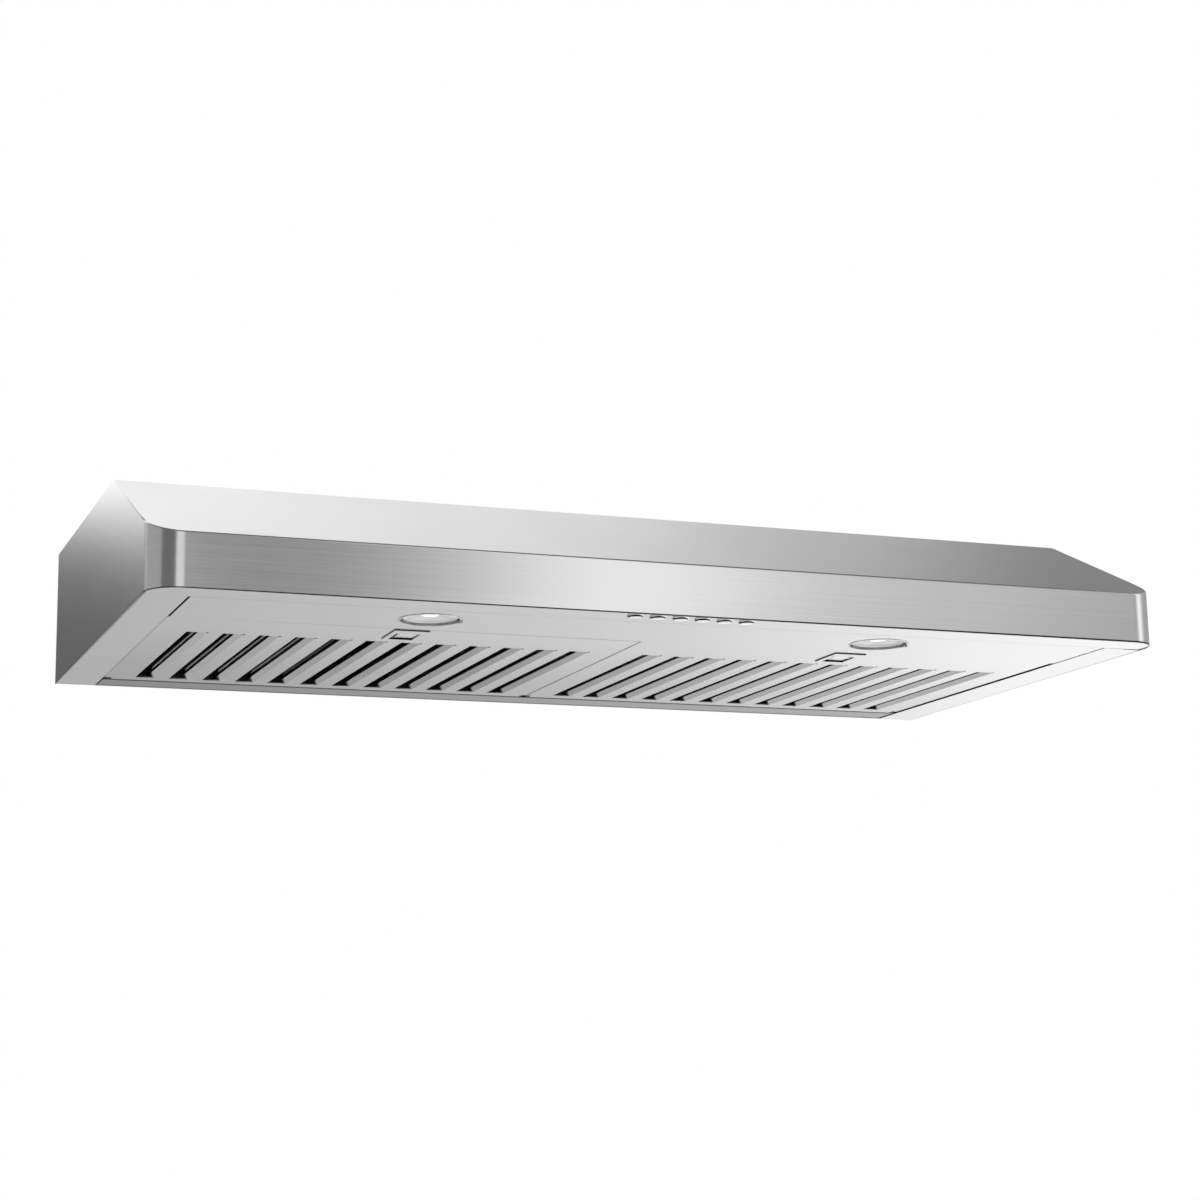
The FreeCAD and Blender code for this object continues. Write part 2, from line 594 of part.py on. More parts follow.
def make_side_strip(name, side):
    """side is "" for the right and "-" for the left."""
    body = new_body(name, z="Layout.face")
    profile = new_sketch(body, "XZ_Plane", "Layout.back_inside")
    across = [
        ("Layout.opening", "0"),
        ("Layout.inner_half", "0"),
        ("Layout.inner_half", "Sizes.panel_flange"),
        ("Layout.inner_half - Sizes.sheet", "Sizes.panel_flange"),
        ("Layout.inner_half - Sizes.sheet", "Sizes.sheet"),
        ("Layout.opening + Sizes.sheet", "Sizes.sheet"),
        ("Layout.opening + Sizes.sheet", "Sizes.panel_flange"),
        ("Layout.opening", "Sizes.panel_flange"),
    ]
    outline(profile, [("%s(%s)" % (side, x), z) for x, z in across])
    pad(body, profile, "Layout.back_inside - Layout.lip_rear - Sizes.seam")


def make_light_panel():
    body = new_body("light_panel", z="Layout.face")
    left = "-Layout.opening + Sizes.light_left_gap"
    right = "Layout.opening - Sizes.seam"
    front = "Layout.lip_rear + Sizes.seam"
    plate = new_sketch(body)
    rectangle(plate, left, right, front, "Layout.light_rear")
    pad(body, plate, "Sizes.sheet")
    for near, far in ((front, front + " + Sizes.sheet"),
                      ("Layout.light_rear - Sizes.sheet", "Layout.light_rear")):
        flange = new_sketch(body)
        rectangle(flange, left, right, near, far)
        pad(body, flange, "Sizes.panel_flange")
    holes = new_sketch(body)
    for x in ("-Sizes.lamp_span / 2", "Sizes.lamp_span / 2"):
        circle(holes, x, "Layout.front + Sizes.lamp_y", "Sizes.lamp_barrel")
    pocket(body, holes)


def ear_places():
    """Left face of each hinge ear, one at either end of each filter."""
    places = []
    for filter_x in ("Layout.left_filter", "Layout.right_filter"):
        places.append(filter_x + " + Sizes.notch - Sizes.ear_gap - Sizes.ear_sheet")
        places.append(filter_x + " + Layout.filter_width - Sizes.notch + Sizes.ear_gap")
    return places


def make_rear_rail():
    """Rear strip with a grease dam and the ears that the filters hinge on."""
    body = new_body("rear_rail", z="Layout.face")
    width = "2 * (Layout.opening - Sizes.seam)"
    profile = new_sketch(body, "YZ_Plane")
    hem = "Layout.rail_front + Sizes.rail_hem"
    outline(profile, [
        ("Layout.rail_front", "0"),
        (hem, "0"),
        (hem, "Sizes.rail_step"),
        ("Layout.back_inside", "Sizes.rail_step"),
        ("Layout.back_inside", "Sizes.rail_step + Sizes.sheet"),
        ("Layout.rail_front + Sizes.sheet", "Sizes.rail_step + Sizes.sheet"),
        ("Layout.rail_front + Sizes.sheet", "Sizes.rail_dam"),
        ("Layout.rail_front", "Sizes.rail_dam"),
    ])
    pad(body, profile, width, middle=True)
    level = "(Layout.pin_z - Layout.face)"
    for x in ear_places():
        ear = new_sketch(body, "YZ_Plane", x)
        outline(ear, [
            ("Layout.rail_front", level + " + Sizes.ear_radius"),
            ("Layout.pin_y", level + " + Sizes.ear_radius", "Sizes.ear_radius", 1),
            ("Layout.pin_y - Sizes.ear_radius", level, "Sizes.ear_radius", 1),
            ("Layout.pin_y", level + " - Sizes.ear_radius"),
            ("Layout.rail_front", level + " - Sizes.ear_radius"),
        ])
        circle(ear, "Layout.pin_y", level, "Sizes.pin_radius + Sizes.pin_clearance")
        pad(body, ear, "Sizes.ear_sheet")


# ---------------------------------------------------------------- filters

def frame_outline(inset):
    """A filter's plan, notched at its rear corners and drawn in by inset."""
    near = inset
    far = "Layout.filter_width - (%s)" % inset
    rear = "Layout.filter_length - (%s)" % inset
    step = "Layout.filter_length - Sizes.notch_depth - (%s)" % inset
    return [
        (near, near),
        (far, near),
        (far, step),
        (far + " - Sizes.notch", step),
        (far + " - Sizes.notch", rear),
        (near + " + Sizes.notch", rear),
        (near + " + Sizes.notch", step),
        (near, step),
    ]


def make_filter_face(name, x):
    """The slotted face and its frame: slots with one slanted lip each, latch hole and pins."""
    body = new_body(name, x, "Layout.filter_front", "Layout.face")
    plate = new_sketch(body)
    outline(plate, frame_outline("0"))
    pad(body, plate, "Sizes.sheet")
    walls = new_sketch(body)
    outline(walls, frame_outline("0"))
    outline(walls, frame_outline("Sizes.sheet"))
    pad(body, walls, "Sizes.filter_height")
    slot_right = "Sizes.slot_margin + Sizes.slot_width"
    slot = new_sketch(body)
    rectangle(slot, "Sizes.slot_margin", slot_right, "Sizes.slot_front", "Layout.slot_end")
    cut = pocket(body, slot, "Sizes.sheet")
    row_of(body, [cut], "Sizes.slot_count", "Layout.slot_span")
    lip = new_sketch(body, "XZ_Plane", "Layout.slot_end")
    thick = "Sizes.sheet * Layout.lip_sec"
    outline(lip, [
        (slot_right, "0"),
        (slot_right, thick),
        (slot_right + " - Sizes.lip_run", "Sizes.lip_rise + " + thick),
        (slot_right + " - Sizes.lip_run", "Sizes.lip_rise"),
    ])
    fold = pad(body, lip, "Layout.slot_length")
    row_of(body, [fold], "Sizes.slot_count", "Layout.slot_span")
    seat = new_sketch(body)
    cup_outline(seat, "Sizes.cup_clearance")
    pocket(body, seat, "Sizes.sheet")
    nose_hole(body, "0")
    level = "(Layout.pin_z - Layout.face)"
    line = "Layout.filter_length - Sizes.pin_setback"
    for start, back in (("Sizes.notch", True), ("Layout.filter_width - Sizes.notch", False)):
        pin = new_sketch(body, "YZ_Plane", start)
        circle(pin, line, level, "Sizes.pin_radius")
        pad(body, pin, "Sizes.pin_length", back=back)


def cup_outline(sketch, grow):
    """The walls of the latch cup in plan, grown on every side."""
    rectangle(sketch, "Layout.cup_middle - Layout.cup_half - (%s)" % grow,
              "Layout.cup_middle + Layout.cup_half + (%s)" % grow,
              "Layout.cup_front_wall - (%s)" % grow, "Layout.cup_rear_wall + (%s)" % grow)


def nose_hole(body, wall):
    """The slot that the latch nose slides through, in a wall whose front face is given."""
    hole = new_sketch(body, "XZ_Plane", wall)
    reach = "Sizes.nose_width / 2 + Sizes.thumb_clearance"
    rise = "Sizes.nose_thickness / 2 + Sizes.thumb_clearance"
    rectangle(hole, "Layout.cup_middle - (%s)" % reach, "Layout.cup_middle + %s" % reach,
              "Layout.nose_level - (%s)" % rise, "Layout.nose_level + %s" % rise)
    pocket(body, hole, "Sizes.sheet", back=True)


def make_filter_baffles(name, x):
    """Inner row: a channel over each slot, joined by a bar at each end."""
    body = new_body(name, x, "Layout.filter_front", "Layout.face + Sizes.baffle_level")
    left = "Sizes.slot_margin - Sizes.baffle_overlap"
    right = left + " + Sizes.baffle_width"
    channel = new_sketch(body, "XZ_Plane", "Layout.slot_end")
    crown = "-2 * Sizes.baffle_sheet"
    outline(channel, [
        (left, "-Sizes.baffle_leg - Sizes.baffle_sheet"),
        (left, "-Sizes.baffle_sheet"),
        (right, "-Sizes.baffle_sheet"),
        (right, "-Sizes.baffle_leg - Sizes.baffle_sheet"),
        (right + " - Sizes.baffle_sheet", "-Sizes.baffle_leg - Sizes.baffle_sheet"),
        (right + " - Sizes.baffle_sheet", crown),
        (left + " + Sizes.baffle_sheet", crown),
        (left + " + Sizes.baffle_sheet", "-Sizes.baffle_leg - Sizes.baffle_sheet"),
    ])
    first = pad(body, channel, "Layout.slot_length")
    row_of(body, [first], "Sizes.slot_count", "Layout.slot_span")
    for near in ("Sizes.slot_front", "Layout.slot_end - Sizes.baffle_bar"):
        bar = new_sketch(body, offset="-Sizes.baffle_sheet")
        rectangle(bar, "Sizes.sheet", "Layout.filter_width - Sizes.sheet",
                  near, near + " + Sizes.baffle_bar")
        pad(body, bar, "Sizes.baffle_sheet")


def make_latch_cup(name, x):
    """A rim on the filter's face with a finger window, and the box behind it."""
    body = new_body(name, x, "Layout.filter_front", "Layout.face")
    rim = new_sketch(body, offset="-Sizes.cup_proud")
    rectangle(rim, "Layout.cup_middle - Sizes.cup_width / 2",
              "Layout.cup_middle + Sizes.cup_width / 2", "Sizes.cup_setback", "Layout.cup_rear")
    pad(body, rim, "Sizes.cup_proud")
    outside = new_sketch(body)
    cup_outline(outside, "0")
    pad(body, outside, "Sizes.cup_height")
    inside = new_sketch(body)
    cup_outline(inside, "-Sizes.sheet")
    pocket(body, inside, "Sizes.cup_height - Sizes.sheet")
    window = new_sketch(body, offset="-Sizes.cup_proud")
    rectangle(window, "Layout.cup_middle - Sizes.window_width / 2",
              "Layout.cup_middle + Sizes.window_width / 2", "Layout.window_front",
              "Layout.window_rear")
    pocket(body, window, "Sizes.cup_proud")
    nose_hole(body, "Layout.cup_front_wall")


def make_latch_slide(name, x):
    """Thumb piece with a ramped, ribbed finger scoop, and the nose ahead of it."""
    body = new_body(name, x, "Layout.filter_front", "Layout.face")
    half = "(Sizes.window_width / 2 + Sizes.thumb_margin)"
    block = new_sketch(body, offset="Sizes.thumb_clearance")
    rectangle(block, "Layout.cup_middle - %s" % half, "Layout.cup_middle + %s" % half,
              "Layout.thumb_front", "Layout.thumb_rear")
    pad(body, block, "Layout.thumb_top - Sizes.thumb_clearance")
    scoop = new_sketch(body, "YZ_Plane", "Layout.cup_middle - Sizes.window_width / 2")
    outline(scoop, [
        ("Layout.window_front", "Sizes.thumb_clearance"),
        ("Layout.scoop_rear", "Sizes.thumb_clearance"),
        ("Layout.scoop_rear", "Sizes.thumb_clearance + Sizes.scoop_depth"),
    ])
    pocket(body, scoop, "Sizes.window_width")
    for index in range(int(number("Sizes.rib_count"))):
        rear = "Layout.scoop_rear - %d * Sizes.rib_pitch" % (index + 1)
        level = "Sizes.thumb_clearance + (%s - Layout.window_front) * Layout.scoop_slope" % rear
        rib = new_sketch(body, "YZ_Plane", "Layout.cup_middle - Sizes.window_width / 2")
        outline(rib, [
            ("%s - Sizes.rib_width" % rear, "%s - Sizes.rib_height" % level),
            (rear, "%s - Sizes.rib_height" % level),
            (rear, level),
            ("%s - Sizes.rib_width" % rear, level),
        ])
        pad(body, rib, "Sizes.window_width")
    nose = new_sketch(body, offset="Layout.nose_level - Sizes.nose_thickness / 2")
    rectangle(nose, "Layout.cup_middle - Sizes.nose_width / 2",
              "Layout.cup_middle + Sizes.nose_width / 2",
              "Layout.light_rear + Sizes.nose_gap - Layout.filter_front", "Layout.thumb_front")
    pad(body, nose, "Sizes.nose_thickness")


def make_latch_spring(name, x):
    """A bowed leaf between the latch slide and the rear wall of its cup."""
    body = new_body(name, x, "Layout.filter_front", "Layout.face")
    leaf = new_sketch(body, offset="Layout.nose_level - Sizes.nose_thickness / 2")
    wall = "Layout.cup_rear_wall - Sizes.sheet"
    outline(leaf, [
        ("Layout.cup_middle - Sizes.spring_reach", wall + " - Sizes.spring_sheet"),
        ("Layout.cup_middle", "Layout.thumb_rear"),
        ("Layout.cup_middle + Sizes.spring_reach", wall + " - Sizes.spring_sheet"),
        ("Layout.cup_middle + Sizes.spring_reach", wall),
        ("Layout.cup_middle", "Layout.thumb_rear + Layout.spring_bend"),
        ("Layout.cup_middle - Sizes.spring_reach", wall),
    ])
    pad(body, leaf, "Sizes.nose_thickness")


# ---------------------------------------------------------------- controls

def make_button(index):
    body = new_body("button_%d" % (index + 1),
                    "Layout.button_first + %d * Sizes.button_pitch" % index,
                    "Layout.button_line", "Layout.face")
    half = new_sketch(body, "XZ_Plane")
    top = "Sizes.button_head"
    shoulder = "-Sizes.button_proud + Sizes.button_crown"
    outline(half, [
        ("0", "-Sizes.button_proud", "Layout.crown_radius", 1),
        ("Layout.button_flat", shoulder, "Sizes.bezel_lip", 1),
        ("Sizes.button_radius", shoulder + " + Sizes.bezel_lip"),
        ("Sizes.button_radius", top),
        ("Sizes.stem_radius", top),
        ("Sizes.stem_radius", top + " + Sizes.stem_length"),
        ("0", top + " + Sizes.stem_length"),
    ])
    revolve(body, half)


def make_button_bezels():
    """Six rings pressed into the lip, each with a thin rim on its face."""
    rings = []
    inner = "Sizes.button_radius + Sizes.bezel_clearance"
    for index in range(int(number("Sizes.button_count"))):
        body = doc.addObject("PartDesign::Body", "bezel_%d" % (index + 1))
        place(body, "Layout.button_first + %d * Sizes.button_pitch" % index,
              "Layout.button_line", "Layout.face")
        half = new_sketch(body, "XZ_Plane")
        barrel = inner + " + Sizes.bezel_lip"
        outline(half, [
            (inner, "-Sizes.bezel_lip"),
            ("Sizes.bezel_radius - Sizes.bezel_lip", "-Sizes.bezel_lip"),
            ("Sizes.bezel_radius", "0"),
            (barrel, "0"),
            (barrel, "Sizes.sheet"),
            (inner, "Sizes.sheet"),
        ])
        revolve(body, half)
        rings.append(body)
    group = keep(doc.addObject("Part::Compound", "button_bezels"), "button_bezels")
    group.Links = rings


def make_switch_bracket():
    """A channel on the lip that holds the switch block off the button heads."""
    body = new_body("switch_bracket", "0", "Layout.button_line",
                    "Layout.face_top")
    half = "Sizes.switch_depth / 2"
    rise = "Layout.switch_level - Sizes.sheet"
    profile = new_sketch(body, "YZ_Plane")
    outline(profile, [
        ("-%s" % half, "0"),
        (half, "0"),
        (half, rise),
        (half + " - Sizes.sheet", rise),
        (half + " - Sizes.sheet", "Sizes.sheet"),
        ("-%s + Sizes.sheet" % half, "Sizes.sheet"),
        ("-%s + Sizes.sheet" % half, rise),
        ("-%s" % half, rise),
    ])
    pad(body, profile, "Layout.button_span + 2 * Sizes.switch_margin", middle=True)
    hole = new_sketch(body)
    circle(hole, "-Layout.button_span / 2", "0",
           "Sizes.button_radius + Sizes.bezel_clearance")
    cut = pocket(body, hole, "Sizes.sheet")
    row_of(body, [cut], "Sizes.button_count", "Layout.button_span")


def make_switch_block():
    """Six-way push switch: a bore for each stem and two spade terminals above it."""
    body = new_body("switch_block", "0", "Layout.button_line",
                    "Layout.face + Layout.switch_level")
    half = "(Layout.button_span / 2 + Sizes.switch_margin)"
    case = new_sketch(body)
    rectangle(case, "-" + half, half, "-Sizes.switch_depth / 2", "Sizes.switch_depth / 2")
    pad(body, case, "Sizes.switch_height")
    bore = new_sketch(body)
    circle(bore, "-Layout.button_span / 2", "0", "Sizes.stem_radius + Sizes.stem_clearance")
    cut = pocket(body, bore, "Sizes.stem_length + Sizes.button_travel")
    row_of(body, [cut], "Sizes.button_count", "Layout.button_span")
    tabs = []
    for y in ("-Sizes.switch_depth / 4", "Sizes.switch_depth / 4"):
        tab = new_sketch(body, offset="Sizes.switch_height")
        rectangle(tab, "-Layout.button_span / 2 - Sizes.tab_width / 2",
                  "-Layout.button_span / 2 + Sizes.tab_width / 2",
                  y + " - Sizes.tab_sheet / 2", y + " + Sizes.tab_sheet / 2")
        tabs.append(pad(body, tab, "Sizes.tab_height"))
    row_of(body, tabs, "Sizes.button_count", "Layout.button_span")


# ---------------------------------------------------------------- lamps

def lamp_body(name, x):
    return new_body(name, x, "Layout.front + Sizes.lamp_y", "Layout.face")


def make_lamp(side, x):
    """Ring, glass, bright disc and finned housing of one lamp."""
    ring = lamp_body("lamp_%s_ring" % side, x)
    bore = "Sizes.lamp_barrel - Sizes.lamp_wall"
    outline(new_sketch(ring, "XZ_Plane"), [
        (bore, "-Sizes.lamp_proud"),
        ("Sizes.lamp_radius - Sizes.lamp_proud", "-Sizes.lamp_proud", "Sizes.lamp_proud", 1),
        ("Sizes.lamp_radius", "0"),
        ("Sizes.lamp_barrel", "0"),
        ("Sizes.lamp_barrel", "Sizes.lamp_height"),
        (bore, "Sizes.lamp_height"),
    ])
    revolve(ring, ring.Group[0])
    lens = lamp_body("lamp_%s_lens" % side, x)
    disc = new_sketch(lens, offset="Sizes.lens_recess - Sizes.lamp_proud")
    circle(disc, "0", "0", bore + " - Sizes.lens_clearance")
    pad(lens, disc, "Sizes.lens_thickness")
    seat = "Sizes.lens_recess - Sizes.lamp_proud + Sizes.lens_thickness"
    emitter = lamp_body("lamp_%s_emitter" % side, x)
    level = seat + " + Sizes.emitter_gap"
    glow = new_sketch(emitter, offset=level)
    circle(glow, "0", "0", "Sizes.emitter_radius")
    pad(emitter, glow, "Sizes.emitter_thickness")
    housing = lamp_body("lamp_%s_housing" % side, x)
    back = level + " + Sizes.emitter_thickness"
    reach = bore + " - Sizes.lens_clearance"
    outline(new_sketch(housing, "XZ_Plane"), [
        ("0", back),
        ("Sizes.emitter_radius", back),
        (reach + " - Sizes.lamp_wall", seat),
        (reach, seat),
        (reach, "Sizes.lamp_height"),
        ("0", "Sizes.lamp_height"),
    ])
    revolve(housing, housing.Group[0])
    fin = new_sketch(housing, offset="Sizes.lamp_height")
    rectangle(fin, "Sizes.fin_start", bore, "-Sizes.fin_sheet / 2", "Sizes.fin_sheet / 2")
    blade = pad(housing, fin, "Sizes.fin_height")
    ring_of(housing, [blade], "Sizes.fin_count")


# ---------------------------------------------------------------- blower

def blower_body(name, z):
    return new_body(name, "Layout.wheel_x", "Layout.wheel_line", z)


def volute(grow):
    """The housing's plan about the blower axis: three growing arcs and the way to the outlet."""
    first = "(Sizes.volute_radius + %s)" % grow
    second = "(Sizes.volute_radius + Sizes.volute_step + %s)" % grow
    third = "(Sizes.volute_radius + 2 * Sizes.volute_step + %s)" % grow
    right = "Sizes.volute_step + %s" % third
    tongue = "Sizes.tongue_x - %s" % grow
    outlet = "Layout.outlet_front + Sizes.sheet - Layout.wheel_line"
    start = "sqrt(%s * %s - (%s) * (%s))" % (first, first, tongue, tongue)
    return [
        (tongue, start, first, 1),
        ("-%s" % first, "0", second, 1),
        ("Sizes.volute_step", "-%s" % second, third, 1),
        (right, "Sizes.volute_step"),
        (right, outlet),
        (tongue, outlet),
    ]


def plenum(grow):
    """The outlet box below the duct, in the blower's own coordinates."""
    return (
        "-Layout.duct_inside - Layout.wheel_x - %s" % grow,
        "Layout.duct_inside - Layout.wheel_x + %s" % grow,
        "Layout.outlet_front - Layout.wheel_line - %s" % grow,
        "Layout.duct_middle + Layout.duct_inside_depth - Layout.wheel_line + %s" % grow,
    )


def make_blower_scroll():
    body = blower_body("blower_scroll", "Layout.base + Sizes.sheet")
    outline(new_sketch(body), volute("Sizes.sheet"))
    pad(body, body.Group[0], "Layout.housing_height")
    box = new_sketch(body)
    rectangle(box, *plenum("Sizes.sheet"))
    pad(body, box, "Layout.housing_height")
    air = new_sketch(body)
    outline(air, volute("0"))
    pocket(body, air, "Layout.housing_height - Sizes.sheet")
    outlet = new_sketch(body)
    rectangle(outlet, *plenum("0"))
    pocket(body, outlet, "Layout.housing_height")


def make_blower_base():
    """Base plate with a rolled inlet ring."""
    body = blower_body("blower_base", "Layout.base")
    outline(new_sketch(body), volute("Sizes.sheet"))
    pad(body, body.Group[0], "Sizes.sheet")
    box = new_sketch(body)
    rectangle(box, *plenum("Sizes.sheet"))
    pad(body, box, "Sizes.sheet")
    eye = new_sketch(body)
    circle(eye, "0", "0", "Sizes.wheel_radius - Sizes.blade_depth")
    pocket(body, eye, "Sizes.sheet")
    ring = new_sketch(body, "XZ_Plane")
    bore = "Sizes.wheel_radius - Sizes.blade_depth - Sizes.sheet"
    outline(ring, [
        (bore + " + Sizes.inlet_lip", "0", "Sizes.inlet_lip", -1),
        (bore, "Sizes.inlet_lip"),
        (bore, "Sizes.inlet_lip + Sizes.sheet"),
        (bore + " + Sizes.sheet", "Sizes.inlet_lip + Sizes.sheet"),
        (bore + " + Sizes.sheet", "Sizes.inlet_lip", "Sizes.inlet_lip - Sizes.sheet", 1),
        (bore + " + Sizes.inlet_lip", "Sizes.sheet"),
    ])
    revolve(body, ring)


def make_blower_wheel():
    """Forward curved blades between a closed back plate and an open ring."""
    body = blower_body("blower_wheel", "Layout.base + Layout.wheel_level")
    back = new_sketch(body, offset="Sizes.wheel_height - Sizes.sheet")
    circle(back, "0", "0", "Sizes.wheel_radius")
    pad(body, back, "Sizes.sheet")
    hub = new_sketch(body, offset="Sizes.wheel_height - Sizes.hub_height")
    circle(hub, "0", "0", "Sizes.hub_radius")
    pad(body, hub, "Sizes.hub_height")
    ring = new_sketch(body)
    circle(ring, "0", "0", "Sizes.wheel_radius")
    circle(ring, "0", "0", "Sizes.wheel_radius - Sizes.ring_width")
    pad(body, ring, "Sizes.ring_height")
    inner = "(Sizes.wheel_radius - Sizes.blade_depth)"
    outer = "(Sizes.wheel_radius - Sizes.blade_inset)"
    lean = "(Sizes.blade_sweep * 1 deg)"
    thick = "(Layout.blade_angle * 1 deg)"
    section = new_sketch(body)
    outline(section, [
        (inner, "0", "Sizes.blade_radius", 1),
        ("%s * cos(%s)" % (outer, lean), "%s * sin(%s)" % (outer, lean)),
        ("%s * cos(%s + %s)" % (outer, lean, thick), "%s * sin(%s + %s)" % (outer, lean, thick),
         "Sizes.blade_radius", -1),
        ("%s * cos(%s)" % (inner, thick), "%s * sin(%s)" % (inner, thick)),
    ])
    blade = pad(body, section, "Sizes.wheel_height - Sizes.sheet")
    ring_of(body, [blade], "Sizes.blade_count")
    bore = new_sketch(body)
    circle(bore, "0", "0", "Sizes.shaft_radius")
    pocket(body, bore)


def motor_base():
    return "Layout.housing_roof - Sizes.bush_height - Sizes.motor_height"


def make_motor():
    body = blower_body("motor", motor_base())
    outer = "Sizes.motor_radius"
    bore = "Sizes.shaft_radius + Sizes.shaft_clearance"
    outline(new_sketch(body, "XZ_Plane"), [
        (bore, "0"),
        (outer + " - Sizes.motor_round", "0", "Sizes.motor_round", 1),
        (outer, "Sizes.motor_round"),
        (outer, "Sizes.motor_height"),
        (bore, "Sizes.motor_height"),
    ])
    revolve(body, body.Group[0])


def make_motor_bushes():
    bushes = []
    for index in range(int(number("Sizes.bush_count"))):
        bush = doc.addObject("Part::Cylinder", "bush_%d" % (index + 1))
        bind(bush, Radius="Sizes.bush_radius", Height="Sizes.bush_height")
        angle = "%d * 360 deg / Sizes.bush_count" % index
        place(bush, "Layout.wheel_x + Sizes.bush_circle * cos(%s)" % angle,
              "Layout.wheel_line + Sizes.bush_circle * sin(%s)" % angle,
              "Layout.housing_roof - Sizes.bush_height")
        bushes.append(bush)
    group = keep(doc.addObject("Part::Compound", "motor_bushes"), "motor_bushes")
    group.Links = bushes


def make_motor_shaft():
    shaft = keep(doc.addObject("Part::Cylinder", "motor_shaft"), "motor_shaft")
    low = "Layout.base + Layout.wheel_level + Sizes.wheel_height - Sizes.hub_height"
    bind(shaft, Radius="Sizes.shaft_radius",
         Height="%s + Sizes.motor_height / 2 - (%s)" % (motor_base(), low))
    place(shaft, "Layout.wheel_x", "Layout.wheel_line", low)


# ---------------------------------------------------------------- electrics

def make_wiring_box():
    body = new_body("wiring_box", "Layout.box_x", "Layout.box_line",
                    "-Sizes.sheet - Sizes.box_height")
    edges = ("-Sizes.box_width / 2", "Sizes.box_width / 2",
             "-Sizes.box_length / 2", "Sizes.box_length / 2")
    rectangle(new_sketch(body), *edges)
    pad(body, body.Group[0], "Sizes.box_height")
    inside = new_sketch(body)
    rectangle(inside, edges[0] + " + Sizes.sheet", edges[1] + " - Sizes.sheet",
              edges[2] + " + Sizes.sheet", edges[3] + " - Sizes.sheet")
    pocket(body, inside, "Sizes.box_height - Sizes.sheet")


def make_wiring_cover():
    body = new_body("wiring_cover", "Layout.box_x", "Layout.box_line",
                    "-2 * Sizes.sheet - Sizes.box_height")
    edges = ("-Sizes.box_width / 2 - Sizes.sheet", "Sizes.box_width / 2 + Sizes.sheet",
             "-Sizes.box_length / 2", "Sizes.box_length / 2")
    rectangle(new_sketch(body), *edges)
    pad(body, body.Group[0], "Sizes.sheet")
    for near, far in ((edges[0], edges[0] + " + Sizes.sheet"),
                      (edges[1] + " - Sizes.sheet", edges[1])):
        flange = new_sketch(body)
        rectangle(flange, near, far, edges[2], edges[3])
        pad(body, flange, "Sizes.sheet + Sizes.panel_flange")


def make_terminal_block():
    """A strip of clamp terminals on the roof of the wiring box."""
    body = new_body("terminal_block", "Layout.box_x", "Layout.box_line",
                    "-2 * Sizes.sheet - Sizes.terminal_height")
    rectangle(new_sketch(body), "-Sizes.terminal_length / 2", "Sizes.terminal_length / 2",
              "-Sizes.terminal_width / 2", "Sizes.terminal_width / 2")
    pad(body, body.Group[0], "Sizes.terminal_height")
    groove = new_sketch(body)
    first = "(Sizes.terminal_margin - Sizes.terminal_length / 2)"
    rectangle(groove, first + " - Sizes.terminal_groove / 2",
              first + " + Sizes.terminal_groove / 2",
              "-Sizes.terminal_width / 2 - Sizes.overrun",
              "Sizes.terminal_width / 2 + Sizes.overrun")
    cut = pocket(body, groove, "Sizes.terminal_groove_depth")
    row_of(body, [cut], "Sizes.terminal_count",
           "Sizes.terminal_length - 2 * Sizes.terminal_margin")


def make_capacitor():
    can = keep(doc.addObject("Part::Cylinder", "capacitor"), "capacitor")
    bind(can, Radius="Sizes.capacitor_radius", Height="Sizes.capacitor_length")
    can.Placement.Rotation = FreeCAD.Rotation(FreeCAD.Vector(0, 1, 0), 90)
    place(can, "Layout.capacitor_x - Sizes.capacitor_length / 2", "Layout.capacitor_line",
          "Layout.capacitor_level")


def make_capacitor_clip():
    """A strap round the capacitor with a flat back on the top panel."""
    body = new_body("capacitor_clip", "Layout.capacitor_x", "Layout.capacitor_line",
                    "Layout.capacitor_level")
    strap = new_sketch(body, "YZ_Plane")
    circle(strap, "0", "0", "Layout.clip_radius + Sizes.clip_sheet")
    circle(strap, "0", "0", "Layout.clip_radius")
    pad(body, strap, "Sizes.clip_width", middle=True)


# ---------------------------------------------------------------- duct

def adapter_screw_places():
    x = "Sizes.duct_width / 2 + Sizes.duct_flange / 2"
    return [(side + "(" + x + ")", "Layout.duct_middle " + way + " Sizes.screw_row / 2")
            for side in ("-", "") for way in ("-", "+")]


def make_duct_adapter():
    """A rectangular collar with a foot in the tray and a ledge that the damper closes on."""
    body = new_body("duct_adapter")
    foot = new_sketch(body, offset="-Sizes.tray_depth")
    duct_frame(foot, "Sizes.duct_flange")
    duct_frame(foot, "-Sizes.sheet")
    pad(body, foot, "Sizes.sheet")
    wall = new_sketch(body, offset="-Sizes.tray_depth")
    duct_frame(wall, "0")
    duct_frame(wall, "-Sizes.sheet")
    pad(body, wall, "Sizes.tray_depth + Sizes.duct_height")
    ledge = new_sketch(body, offset="Sizes.damper_level - Sizes.damper_sheet / 2"
                       " - Sizes.ledge_gap - Sizes.sheet")
    duct_frame(ledge, "-Sizes.sheet")
    duct_frame(ledge, "-Sizes.sheet - Sizes.ledge")
    pad(body, ledge, "Sizes.sheet")
    rod = new_sketch(body, "YZ_Plane")
    circle(rod, "Layout.duct_middle", "Sizes.damper_level",
           "Sizes.rod_radius + Sizes.rod_seat")
    pocket(body, rod)
    holes = new_sketch(body, offset="-Sizes.tray_depth")
    for x, y in adapter_screw_places():
        circle(holes, x, y, "Sizes.screw_radius + Sizes.screw_clearance")
    pocket(body, holes, "Sizes.sheet")


